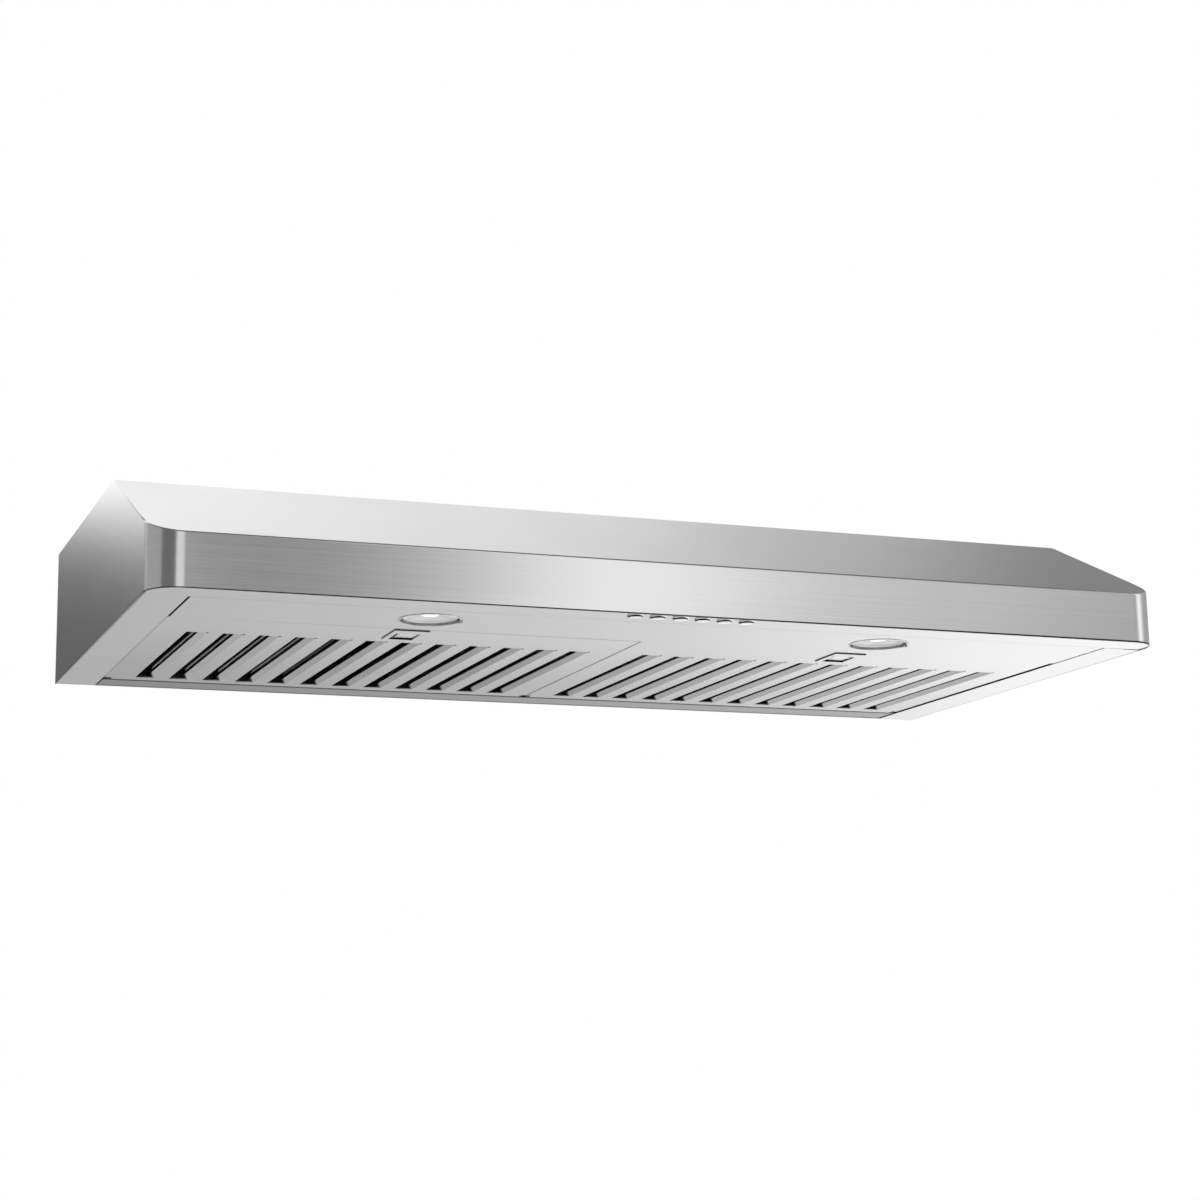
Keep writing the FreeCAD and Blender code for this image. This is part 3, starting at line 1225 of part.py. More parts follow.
def make_damper_rod():
    rod = keep(doc.addObject("Part::Cylinder", "damper_rod"), "damper_rod")
    bind(rod, Radius="Sizes.rod_radius", Height="Sizes.duct_width")
    rod.Placement.Rotation = FreeCAD.Rotation(FreeCAD.Vector(0, 1, 0), 90)
    place(rod, "-Sizes.duct_width / 2", "Layout.duct_middle", "Sizes.damper_level")


def make_damper_leaf(name, side, first):
    """One leaf: a plate to the front or rear of the rod and every second knuckle on it."""
    body = new_body(name, "0", "Layout.duct_middle", "Sizes.damper_level")
    half = "(Layout.duct_inside - Sizes.damper_gap - Sizes.ledge)"
    reach = "(Layout.duct_inside_depth - Sizes.damper_gap)"
    near = "(Sizes.knuckle_radius + Sizes.rod_clearance)"
    plate = new_sketch(body, offset="-Sizes.damper_sheet / 2")
    rectangle(plate, "-" + half, half, side + near, side + reach)
    pad(body, plate, "Sizes.damper_sheet")
    pitch = "(2 * Layout.duct_inside - 2 * Sizes.damper_gap - 2 * Sizes.ledge)"
    pitch += " / Sizes.knuckle_count"
    for index in range(first, int(number("Sizes.knuckle_count")), 2):
        start = "-%s + %d * %s + Sizes.rod_clearance" % (half, index, pitch)
        web = new_sketch(body, "YZ_Plane", start)
        tall = "Sizes.damper_sheet / 2"
        outline(web, [
            (side + near, "-" + tall),
            (side + near, tall),
            (side + "(Sizes.rod_radius + 2 * Sizes.rod_clearance)", tall),
            (side + "(Sizes.rod_radius + 2 * Sizes.rod_clearance)", "-" + tall),
        ])
        pad(body, web, pitch + " - 2 * Sizes.rod_clearance")
        knuckle = new_sketch(body, "YZ_Plane", start)
        circle(knuckle, "0", "0", "Sizes.knuckle_radius")
        circle(knuckle, "0", "0", "Sizes.rod_radius + Sizes.rod_clearance")
        pad(body, knuckle, pitch + " - 2 * Sizes.rod_clearance")


def make_adapter_screws():
    screws = []
    for index, (x, y) in enumerate(adapter_screw_places()):
        body = doc.addObject("PartDesign::Body", "adapter_screw_%d" % (index + 1))
        place(body, x, y, "Sizes.sheet - Sizes.tray_depth")
        half = new_sketch(body, "XZ_Plane")
        outline(half, [
            ("0", "-Sizes.screw_length"),
            ("Sizes.screw_radius", "-Sizes.screw_length + Sizes.screw_radius"),
            ("Sizes.screw_radius", "0"),
            ("Sizes.screw_head", "0"),
            ("Sizes.screw_head", "Sizes.screw_head_height - Sizes.screw_head_round",
             "Sizes.screw_head_round", 1),
            ("Sizes.screw_head - Sizes.screw_head_round", "Sizes.screw_head_height"),
            ("0", "Sizes.screw_head_height"),
        ])
        revolve(body, half)
        screws.append(body)
    group = keep(doc.addObject("Part::Compound", "adapter_screws"), "adapter_screws")
    group.Links = screws


def make_everything():
    make_canopy_shell()
    make_top_panel()
    make_back_panel()
    make_front_lip()
    make_side_strip("left_strip", "-")
    make_side_strip("right_strip", "")
    make_light_panel()
    make_rear_rail()
    for side in ("left", "right"):
        x = "Layout.%s_filter" % side
        make_filter_face("filter_%s_face" % side, x)
        make_filter_baffles("filter_%s_baffles" % side, x)
        make_latch_cup("latch_%s_cup" % side, x)
        make_latch_slide("latch_%s_slide" % side, x)
        make_latch_spring("latch_%s_spring" % side, x)
    for index in range(int(number("Sizes.button_count"))):
        make_button(index)
    make_button_bezels()
    make_switch_bracket()
    make_switch_block()
    make_lamp("left", "-Sizes.lamp_span / 2")
    make_lamp("right", "Sizes.lamp_span / 2")
    make_blower_scroll()
    make_blower_base()
    make_blower_wheel()
    make_motor()
    make_motor_bushes()
    make_motor_shaft()
    make_wiring_box()
    make_wiring_cover()
    make_terminal_block()
    make_capacitor()
    make_capacitor_clip()
    make_duct_adapter()
    make_damper_rod()
    make_damper_leaf("damper_front_leaf", "-", 0)
    make_damper_leaf("damper_rear_leaf", "", 1)
    make_adapter_screws()


def check_and_write():
    doc.recompute()
    for item in doc.Objects:
        if "Invalid" in item.State or "Error" in item.State:
            raise RuntimeError("%s did not build: %s" % (item.Name, item.State))
    for part in parts:
        if part.Shape.isNull() or not part.Shape.isValid() or not part.Shape.Solids:
            raise RuntimeError("%s has no valid solid" % part.Label)
    os.makedirs("parts", exist_ok=True)
    for part in parts:
        part.Shape.exportStep("parts/%s.step" % part.Label)
    print("%d parts written" % len(parts))


fill_sheets()
make_everything()
check_and_write()
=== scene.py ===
"""Under cabinet range hood: looks for the packed model, laid out as a Blender add-on.

Every length is in metres, in the model's own frame: +X to the right, +Y towards the wall and
+Z up.  Sizes come from the packed nodes' boxes or from the property groups below.
"""
import math

import bmesh
import bpy
from bpy.props import FloatProperty, FloatVectorProperty, IntProperty, PointerProperty
from mathutils import Matrix, Vector


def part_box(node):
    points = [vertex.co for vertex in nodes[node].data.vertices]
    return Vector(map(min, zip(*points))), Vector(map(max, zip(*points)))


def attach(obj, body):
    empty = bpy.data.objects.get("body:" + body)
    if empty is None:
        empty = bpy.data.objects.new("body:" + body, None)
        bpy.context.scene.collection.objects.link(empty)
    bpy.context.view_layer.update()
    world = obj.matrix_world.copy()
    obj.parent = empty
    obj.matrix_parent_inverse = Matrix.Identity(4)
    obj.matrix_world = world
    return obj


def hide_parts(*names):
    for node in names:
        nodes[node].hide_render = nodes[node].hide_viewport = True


bl_info = {
    "name": "Range hood",
    "version": (1, 0, 0),
    "blender": (4, 5, 0),
    "location": "View3D > Sidebar > Hood",
    "description": "Finishes, small fittings and studio for an under cabinet range hood",
    "category": "Object",
}

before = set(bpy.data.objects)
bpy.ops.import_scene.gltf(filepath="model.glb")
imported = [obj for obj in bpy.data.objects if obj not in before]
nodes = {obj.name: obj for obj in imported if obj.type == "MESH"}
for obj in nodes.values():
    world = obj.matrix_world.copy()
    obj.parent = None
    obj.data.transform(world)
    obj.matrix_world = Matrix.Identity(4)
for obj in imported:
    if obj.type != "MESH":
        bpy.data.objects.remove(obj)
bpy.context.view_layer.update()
MM = 0.001
AT_EDGE = 2 * MM  # how close to a sheet's side a corner lies that belongs to that side
FRONT_REACH = 22 * MM  # how far back from the canopy's front its dark line runs


# ---------------------------------------------------------------- settings

class HoodSizes(bpy.types.PropertyGroup):
    """Roundings, seats and small fittings"""
    fold_round: FloatProperty(
        name="Fold round", description="Outer radius of the canopy's folds",
        default=1.4 * MM, min=0.0, unit="LENGTH")
    fold_end: FloatProperty(
        name="Fold end", description="How far back from the front edges count as folds",
        default=30 * MM, min=0.0, unit="LENGTH")
    rim_round: FloatProperty(
        name="Rim round", description="Rounding of the canopy's lower rim",
        default=0.45 * MM, min=0.0, unit="LENGTH")
    rim_shadow: FloatProperty(
        name="Rim shadow", description="Height of the painted shadow line above the rim, at its right end",
        default=1.6 * MM, min=0.0, unit="LENGTH")
    edge_round: FloatProperty(
        name="Edge round", description="Rounding of cut sheet edges",
        default=0.15 * MM, min=0.0, unit="LENGTH")
    screw_radius: FloatProperty(
        name="Screw radius", description="Radius of a sheet metal screw's head",
        default=3.4 * MM, min=0.0, unit="LENGTH")
    screw_height: FloatProperty(
        name="Screw height", description="Height of a sheet metal screw's head",
        default=1.8 * MM, min=0.0, unit="LENGTH")
    screw_inset: FloatProperty(
        name="Screw inset", description="From a sheet's edges to its screws",
        default=12 * MM, min=0.0, unit="LENGTH")
    strip_draw: FloatProperty(
        name="Strip draw", description="How much narrower the left strip sits",
        default=1.7 * MM, min=0.0, unit="LENGTH")
    end_gap: FloatProperty(
        name="End gap", description="Gap at the left end of the light panel",
        default=1.9 * MM, min=0.0, unit="LENGTH")
    snug_gap: FloatProperty(
        name="Snug gap", description="Gap from the filters to the panels beside them",
        default=0.3 * MM, min=0.0, unit="LENGTH")
    right_draw: FloatProperty(
        name="Right draw", description="How much narrower the right strip sits",
        default=1.8 * MM, min=0.0, unit="LENGTH")
    front_slant: FloatProperty(
        name="Front slant", description="How much wider the left filter's front gap ends",
        default=0.9 * MM, min=0.0, unit="LENGTH")
    slot_margin: FloatProperty(
        name="Slot margin", description="From a filter's sides to its outer slots",
        default=25.6 * MM, unit="LENGTH")
    slot_width: FloatProperty(
        name="Slot width", description="Opening of one slot",
        default=17.5 * MM, unit="LENGTH")
    slot_front: FloatProperty(
        name="Slot front", description="From a filter's front edge to its slots",
        default=60.3 * MM, unit="LENGTH")
    slot_count: IntProperty(
        name="Slot count", description="Slots in one filter", default=12, min=2)
    rail_shadow: FloatProperty(
        name="Rail hem", description="Width of the dark hem along the rear rail's front",
        default=6.5 * MM, min=0.0, unit="LENGTH")
    leg_end: FloatProperty(
        name="Leg end", description="Where the light on the baffles' legs has faded away",
        default=-235 * MM, unit="LENGTH")
    pad_ribs: IntProperty(
        name="Pad ribs", description="Grip ribs on a latch's finger plate",
        default=2, min=0)
    button_stand: FloatProperty(
        name="Button stand", description="How far a button's face stands below the front lip",
        default=1.8 * MM, min=0.0, unit="LENGTH")
    lens_drop: FloatProperty(
        name="Lens drop", description="How far a lamp glass stands below its solid",
        default=0.5 * MM, min=0.0, unit="LENGTH")
    lens_beads: IntProperty(
        name="Lens beads", description="Pressed beads in the rim of a lamp glass",
        default=72, min=3)
    lens_rings: IntProperty(
        name="Lens rings", description="Pressed ridges round the middle of a lamp glass",
        default=5, min=1)
    bead_radius: FloatProperty(
        name="Bead radius", description="Radius of a pressed bead in a lamp glass",
        default=0.55 * MM, min=0.0, unit="LENGTH")


class HoodColours(bpy.types.PropertyGroup):
    """Colours of the finishes"""
    steel: FloatVectorProperty(
        name="Steel", description="Brushed stainless steel of the canopy",
        default=(0.66, 0.66, 0.665), subtype="COLOR", min=0.0, max=1.0)
    panel: FloatVectorProperty(
        name="Panel", description="Satin stainless steel of the underside",
        default=(0.66, 0.66, 0.665), subtype="COLOR", min=0.0, max=1.0)
    # Near black painted shade, put on upright edges and sides and in the canopy's rim line
    painted_edge_shade: FloatVectorProperty(
        name="Cut edge", description="Painted shade on the edges of the underside sheets",
        default=(0.055, 0.050, 0.045), subtype="COLOR", min=0.0, max=1.0)
    zinc: FloatVectorProperty(
        name="Zinc", description="Galvanised sheet of the hidden parts",
        default=(0.52, 0.54, 0.55), subtype="COLOR", min=0.0, max=1.0)
    # Near black: painted shade for the dark inside of the filters, not the baffles' own colour
    baffle: FloatVectorProperty(
        name="Baffle", description="Inner baffles, seen dark through the slots",
        default=(0.004, 0.004, 0.004), subtype="COLOR", min=0.0, max=1.0)
    glass: FloatVectorProperty(
        name="Glass", description="Milky pressed glass of the lamps",
        default=(0.62, 0.62, 0.62), subtype="COLOR", min=0.0, max=1.0)
    lamp: FloatVectorProperty(
        name="Lamp", description="Frosted disc of the lamps",
        default=(0.95, 0.94, 0.91), subtype="COLOR", min=0.0, max=1.0)


class HoodStudio(bpy.types.PropertyGroup):
    """Camera and surroundings"""
    camera_place: FloatVectorProperty(
        name="Camera place", description="Where the camera stands",
        default=(-0.7862, -2.1224, -0.5063), subtype="TRANSLATION", unit="LENGTH")
    camera_aim: FloatVectorProperty(
        name="Camera aim", description="The point that the camera looks at",
        default=(0.0400, 0.0, -0.0459), subtype="TRANSLATION", unit="LENGTH")
    camera_roll: FloatProperty(
        name="Camera roll", description="Turn of the camera about its own line of sight",
        default=math.radians(-1.005), subtype="ANGLE", unit="ROTATION")
    lens: FloatProperty(
        name="Lens", description="Focal length on a 36 mm wide sensor, in millimetres",
        default=71.79, min=1.0)
    floor_level: FloatProperty(
        name="Floor level", description="Height of the studio floor",
        default=-2.6, unit="LENGTH")
    card_level: FloatProperty(
        name="Card level", description="Height that the cards stand on",
        default=-1.3, unit="LENGTH")
    backdrop: FloatProperty(
        name="Backdrop", description="Brightness of the white surroundings",
        default=1.0, min=0.0)
    ambient: FloatProperty(
        name="Ambient", description="Soft light from all around on matt surfaces",
        default=0.75, min=0.0)


def settings():
    """The sizes and the colours."""
    return bpy.context.scene.hood_sizes, bpy.context.scene.hood_colours


# ---------------------------------------------------------------- node helpers

def made_once(name, kind="materials"):
    """Gives what a maker makes its name and keeps it, so that the maker runs once."""
    def keep(maker):
        def fetch():
            return getattr(bpy.data, kind).get(name) or maker(name)
        fetch.__doc__ = maker.__doc__
        return fetch
    return keep


def socket_id(tree, name):
    """The identifier of a tree's input, which a modifier's value is set by."""
    return next(item.identifier for item in tree.interface.items_tree
                if item.in_out == "INPUT" and item.name == name)


def plug(tree, node, sockets):
    """Gives a node's inputs plain values or links them to other nodes' outputs."""
    for name, value in sockets.items():
        if isinstance(value, bpy.types.NodeSocket):
            tree.links.new(value, node.inputs[name])
        else:
            node.inputs[name].default_value = value


def add_node(tree, kind, label="", sockets=None, **options):
    """A new node with its options and its inputs."""
    node = tree.nodes.new(kind)
    node.label = label
    for name, value in options.items():
        setattr(node, name, value)
    plug(tree, node, sockets or {})
    return node


def new_group(name, kind, inputs, outputs):
    """A node group with named sockets, (name, socket type, default) in and (name, type) out.

    Gives back the group, what comes in and the node that puts out.
    """
    tree = bpy.data.node_groups.new(name, kind)
    for label, socket, default in inputs:
        made = tree.interface.new_socket(label, in_out="INPUT", socket_type=socket)
        if default is not None:
            made.default_value = default
    for label, socket in outputs:
        tree.interface.new_socket(label, in_out="OUTPUT", socket_type=socket)
    return tree, add_node(tree, "NodeGroupInput").outputs, add_node(tree, "NodeGroupOutput")


def placed_group(tree, group, **values):
    """A node group's outputs, with the group's inputs set to values."""
    return add_node(tree, "ShaderNodeGroup", group.name, values, node_tree=group).outputs


def own_place(tree, kind="Object"):
    """A spot's place, or its Normal, in the piece's own space."""
    return add_node(tree, "ShaderNodeTexCoord").outputs[kind]


def own_parts(tree, kind="Object"):
    """X, Y and Z of a spot's place, or of its Normal, in the piece's own space."""
    return add_node(tree, "ShaderNodeSeparateXYZ", "", {0: own_place(tree, kind)}).outputs


def noise(tree, label, scale, detail=2.0):
    """Noise fixed to the piece."""
    return add_node(tree, "ShaderNodeTexNoise", label,
                    {"Vector": own_place(tree), "Scale": scale, "Detail": detail}).outputs["Fac"]


def mapped(tree, label, value, low, high, start=0.0, end=1.0):
    """low where a value is start, high where it is end, and between them on the way."""
    return add_node(tree, "ShaderNodeMapRange", label,
                    {"Value": value, "From Min": start, "From Max": end, "To Min": low,
                     "To Max": high}).outputs["Result"]


def sum_of(tree, operation, label, *values):
    """The result of a sum on outputs and plain numbers."""
    return add_node(tree, "ShaderNodeMath", label, dict(enumerate(values)),
                    operation=operation).outputs[0]


def vector_sum(tree, operation, label, first, second):
    """The node of a sum on two directions or places."""
    return add_node(tree, "ShaderNodeVectorMath", label, {0: first, 1: second},
                    operation=operation)


def bumped(tree, height, strength, distance):
    """The Normal of a relief."""
    return add_node(tree, "ShaderNodeBump", "", {"Height": height, "Strength": strength,
                                                 "Distance": distance}).outputs["Normal"]


def ramp(tree, value, stops):
    """A colour picked by value, from (place, colour) stops."""
    node = add_node(tree, "ShaderNodeValToRGB", "", {"Fac": value})
    elements = node.color_ramp.elements
    while len(elements) < len(stops):
        elements.new(0.5)
    for element, (where, colour) in zip(elements, stops):
        element.position = where
        element.color = (*colour, 1.0)
    return node.outputs["Color"]


def blend(tree, label, start, end, share):
    """One colour turned into another by a share from 0 to 1."""
    return add_node(tree, "ShaderNodeMix", label, {"Factor": share, "A": start, "B": end},
                    data_type="RGBA").outputs["Result"]


@made_once("Sheet grain", "node_groups")
def grain_group(name):
    """Brushing lines: noise drawn out along the sheet, with slow blotches over it."""
    tree, given, out = new_group(
        name, "ShaderNodeTree",
        [("Stretch", "NodeSocketVector", (4.0, 4.0, 900.0)),
         ("Low", "NodeSocketFloat", 0.26), ("High", "NodeSocketFloat", 0.40),
         ("Relief", "NodeSocketFloat", 0.05)],
        [("Shade", "NodeSocketFloat"), ("Roughness", "NodeSocketFloat"),
         ("Normal", "NodeSocketVector")])
    drawn = vector_sum(tree, "MULTIPLY", "draw out", own_place(tree), given["Stretch"])
    lines = add_node(tree, "ShaderNodeTexNoise", "brushing lines",
                     {"Vector": drawn.outputs[0], "Scale": 1.0, "Detail": 5.0,
                      "Roughness": 0.65}).outputs["Fac"]
    marks = noise(tree, "handling marks", 14.0, 3.0)
    mixed = sum_of(tree, "MULTIPLY_ADD", "marks on lines", marks, 0.25, lines)
    plug(tree, out, {
        "Shade": lines,
        "Roughness": mapped(tree, "roughness", mixed, given["Low"], given["High"], 0.30, 0.95),
        "Normal": bumped(tree, lines, given["Relief"], 0.02 * MM)})
    return tree


@made_once("Edge wear", "node_groups")
def wear_group(name):
    """How much a spot is a rubbed edge, broken up by noise."""
    tree, given, out = new_group(
        name, "ShaderNodeTree",
        [("Radius", "NodeSocketFloat", 0.8 * MM), ("Amount", "NodeSocketFloat", 1.0)],
        [("Wear", "NodeSocketFloat")])
    flat = add_node(tree, "ShaderNodeNewGeometry")
    soft = add_node(tree, "ShaderNodeBevel", "", {"Radius": given["Radius"]}, samples=4)
    turn = vector_sum(tree, "DOT_PRODUCT", "how far the edge turns", flat.outputs["Normal"],
                      soft.outputs["Normal"])
    edge = mapped(tree, "edge", turn.outputs["Value"], 0.0, 1.0, 0.985, 0.80)
    broken = sum_of(tree, "MULTIPLY", "broken up", edge, noise(tree, "chips", 260.0, 4.0))
    wear = sum_of(tree, "MULTIPLY", "amount", broken, given["Amount"])
    wear.node.use_clamp = True
    plug(tree, out, {"Wear": wear})
    return tree


@made_once("Cut edge", "node_groups")
def painted_edge_shade_group(name):
    """Where a flat sheet shows its cut edge: faces that stand upright, in the piece's space."""
    tree, given, out = new_group(
        name, "ShaderNodeTree",
        [("From", "NodeSocketFloat", 0.60), ("To", "NodeSocketFloat", 0.35)],
        [("Edge", "NodeSocketFloat")])
    slope = sum_of(tree, "ABSOLUTE", "up or down", own_parts(tree, "Normal")["Z"])
    plug(tree, out, {"Edge": mapped(tree, "cut edge", slope, 0.0, 1.0, given["From"],
                                    given["To"])})
    return tree


# ---------------------------------------------------------------- materials

def new_material(name, constants):
    """A material with its node tree and shader, constants set on the shader's own sockets."""
    material = bpy.data.materials.new(name)
    material.use_nodes = True
    tree = material.node_tree
    shader = tree.nodes["Principled BSDF"]
    plug(tree, shader, constants)
    return material, tree, shader


def shaded(colour, factor=1.0):
    """A colour made darker or lighter, in the form that a socket takes."""
    return (*(min(channel * factor, 1.0) for channel in colour), 1.0)


def tones(tree, value, colour, dark, light, low=0.3, high=0.7):
    """Two tones of a colour, picked by value."""
    return ramp(tree, value, [(low, shaded(colour, dark)[:3]), (high, shaded(colour, light)[:3])])


def mix_in(material, label, colour, share):
    """Mixes a colour into the base colour, by the share that an output gives."""
    tree = material.node_tree
    shader = tree.nodes["Principled BSDF"]
    base = shader.inputs["Base Color"].links[0].from_socket
    plug(tree, shader, {"Base Color": blend(tree, label, base, colour, share)})


def share_along(material, axis, start, end):
    """How far a spot is on its way from start to end along an axis, from 0 to 1."""
    tree = material.node_tree
    return mapped(tree, "share along " + axis, own_parts(tree)[axis], 0.0, 1.0, start, end)


def grain_direction(tree, upright):
    """The direction of the brushing lines, which the stretched highlight lies across."""
    if not upright:
        return add_node(tree, "ShaderNodeCombineXYZ", "along the hood", {"X": 1.0}).outputs[0]
    face = add_node(tree, "ShaderNodeNewGeometry")
    along = vector_sum(tree, "CROSS_PRODUCT", "along the wall", (0.0, 0.0, 1.0),
                       face.outputs["Normal"])
    return vector_sum(tree, "ADD", "or along the hood", along.outputs[0],
                      (0.01, 0.0, 0.0)).outputs[0]


def brushed_steel(name, colour, stretch, low, high, relief=0.05, aniso=0.6, upright=False,
                  cut=None, turn=0.25):
    """Brushed sheet; cut is the colour of its cut edges, where they show."""
    material, tree, shader = new_material(
        name, {"Metallic": 1.0, "Anisotropic": aniso, "Anisotropic Rotation": turn})
    grain = placed_group(tree, grain_group(), Stretch=stretch, Low=low, High=high,
                         Relief=relief)
    plug(tree, shader, {
        "Base Color": tones(tree, grain["Shade"], colour, 0.95, 1.04),
        "Roughness": grain["Roughness"], "Normal": grain["Normal"],
        "Tangent": grain_direction(tree, upright)})
    if cut is not None:
        # Painted shade: the cut colour laid on faces that stand upright
        mix_in(material, "painted shade on upright faces", shaded(cut),
               placed_group(tree, painted_edge_shade_group())["Edge"])
    return material


@made_once("Brushed canopy steel")
def shell_steel(name):
    """The canopy's steel, with a dark line along the foot of its front and its left side."""
    sizes, colours = settings()
    material = brushed_steel(name, colours.steel, (5.0, 5.0, 2000.0), 0.21, 0.28, relief=0.022,
                             upright=True)
    tree = material.node_tree
    low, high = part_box("canopy_shell")
    parts = own_parts(tree)
    top = mapped(tree, "top of the line", parts["X"], low.z + 0.55 * sizes.rim_shadow,
                 low.z + sizes.rim_shadow, low.x, high.x)
    under = sum_of(tree, "LESS_THAN", "under the top", parts["Z"], top)
    front = sum_of(tree, "LESS_THAN", "on the front", parts["Y"], low.y + FRONT_REACH)
    left = sum_of(tree, "LESS_THAN", "on the left side", parts["X"], low.x + 1 * MM)
    seen = sum_of(tree, "MAXIMUM", "front or left", front, left)
    low_down = sum_of(tree, "MULTIPLY", "low on a seen side", under, seen)
    upright = placed_group(tree, painted_edge_shade_group(), From=0.95, To=0.85)["Edge"]
    # Painted shadow: a dark line along the foot of the front and left side, where the lip meets
    # the canopy
    mix_in(material, "painted shadow line", shaded(colours.painted_edge_shade),
           sum_of(tree, "MULTIPLY", "painted shadow at the rim", low_down, upright))
    return material


@made_once("Satin panel steel")
def panel_steel(name):
    """The underside's satin sheet, brushed from side to side, dark at its cut edges."""
    colours = settings()[1]
    return brushed_steel(name, colours.panel, (6.0, 1500.0, 1500.0), 0.255, 0.275,
                         relief=0.004, aniso=0.4, cut=colours.painted_edge_shade, turn=0.0)


@made_once("Satin ring steel")
def ring_steel(name):
    """Satin lamp rings with a shaded inner wall."""
    return brushed_steel(name, settings()[1].panel, (900.0, 900.0, 1500.0), 0.24, 0.32,
                         relief=0.02, aniso=0.0, cut=(0.42, 0.41, 0.39))


@made_once("Button plate")
def button_plate(name):
    """Chromed button faces with darker sides."""
    return brushed_steel(name, (0.80, 0.80, 0.81), (900.0, 900.0, 900.0), 0.12, 0.20,
                         relief=0.01, aniso=0.0, cut=(0.02, 0.02, 0.02))


@made_once("Bezel steel")
def bezel_steel(name):
    """Button bezels, as the lip round them with dark edges."""
    colours = settings()[1]
    return brushed_steel(name, colours.panel, (900.0, 900.0, 1500.0), 0.28, 0.36,
                         relief=0.02, aniso=0.0, cut=colours.painted_edge_shade)


@made_once("Rolled rail steel")
def rail_steel(name):
    """Plain rolled steel of the rear rail, duller than its neighbours, with a dark front hem."""
    sizes, colours = settings()
    dull = [channel * 0.60 for channel in colours.panel]
    material = brushed_steel(name, dull, (6.0, 1500.0, 1500.0), 0.42, 0.52, relief=0.02,
                             aniso=0.2, cut=colours.painted_edge_shade)
    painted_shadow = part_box("filter_left_face")[1].y + sizes.rail_shadow
    # Painted shadow along the rail's front, where the filters' rear edges meet it
    mix_in(material, "painted_shadow", shaded(colours.panel, 0.26),
           share_along(material, "Y", painted_shadow + 0.2 * MM, painted_shadow))
    return material


@made_once("Filter steel")
def filter_steel(name):
    """The filters' satin steel: cooking film dulls it towards the wall and inside the frame."""
    colours = settings()[1]
    material = brushed_steel(name, colours.panel, (1500.0, 6.0, 1500.0), 0.255, 0.275,
                             relief=0.003, aniso=0.4, cut=colours.painted_edge_shade, turn=0.0)
    low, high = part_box("filter_left_face")
    mix_in(material, "darker towards the wall", shaded(colours.panel, 0.78),
           share_along(material, "Y", low.y + 30 * MM, high.y - 80 * MM))
    # Painted shade: near black on the frame's walls and all above the face's lips
    mix_in(material, "painted shade inside the frame", shaded(colours.panel, 0.2),
           share_along(material, "Z", low.z + 3.6 * MM, low.z + 4.0 * MM))
    return material


@made_once("Galvanised sheet")
def zinc_sheet(name):
    """Galvanised sheet: crystals of slightly different greys and sheen."""
    material, tree, shader = new_material(name, {"Metallic": 0.9})
    crystals = add_node(tree, "ShaderNodeTexVoronoi", "zinc crystals",
                        {"Vector": own_place(tree), "Scale": 95.0})
    grey = add_node(tree, "ShaderNodeSeparateColor", "",
                    {"Color": crystals.outputs["Color"]}).outputs
    plug(tree, shader, {
        "Base Color": tones(tree, grey["Green"], settings()[1].zinc, 0.88, 1.08, 0.0, 1.0),
        "Roughness": mapped(tree, "crystal roughness", grey["Red"], 0.34, 0.52)})
    return material


@made_once("Smoked baffle steel")
def baffle_steel(name):
    """Inner baffles: smoked dark, with plain steel on the legs that face the open side."""
    sizes, colours = settings()
    material, tree, shader = new_material(name, {"Specular IOR Level": 0.0})
    plug(tree, shader, {
        "Base Color": tones(tree, noise(tree, "tone of the painted shade", 60.0), colours.baffle, 0.6, 1.4)})
    leg = mapped(tree, "leg towards the open side", own_parts(tree, "Normal")["X"],
                 0.0, 1.0, -0.6, -0.9)
    fade = share_along(material, "X", sizes.leg_end, sizes.leg_end - 60 * MM)
    # Painted light: the legs facing the open side made bright, less so further in
    mix_in(material, "painted light on the legs", shaded(colours.panel, 1.45),
           sum_of(tree, "MULTIPLY", "less light further in", leg, fade))
    return material


# Plain surfaces: colour, metallic, roughness, colour where rubbed, grain and relief.
COATS = {
    # The lance ends' near black is painted shade, not the colour of sheared steel
    "Painted shade of the lance ends": ((0.05, 0.045, 0.04), 0.0, 0.5, (0.12, 0.11, 0.10), 900.0, 0.08),
    "Cast aluminium": ((0.50, 0.51, 0.52), 1.0, 0.42, (0.75, 0.75, 0.76), 700.0, 0.25),
    "Black nylon": ((0.030, 0.030, 0.032), 0.0, 0.48, (0.075, 0.075, 0.078), 900.0, 0.08),
    "White nylon": ((0.78, 0.78, 0.75), 0.0, 0.40, (0.66, 0.65, 0.61), 700.0, 0.08),
    "Motor enamel": ((0.045, 0.045, 0.050), 0.0, 0.30, (0.30, 0.30, 0.31), 500.0, 0.08),
    "Bush rubber": ((0.018, 0.018, 0.018), 0.0, 0.75, (0.05, 0.05, 0.05), 1200.0, 0.2),
    "Ground steel": ((0.50, 0.50, 0.51), 1.0, 0.24, (0.66, 0.66, 0.67), 1500.0, 0.1),
    "Spring steel": ((0.30, 0.31, 0.34), 1.0, 0.32, (0.46, 0.46, 0.47), 1500.0, 0.1),
    "Drawn aluminium can": ((0.68, 0.69, 0.70), 1.0, 0.34, (0.50, 0.50, 0.51), 800.0, 0.08),
}


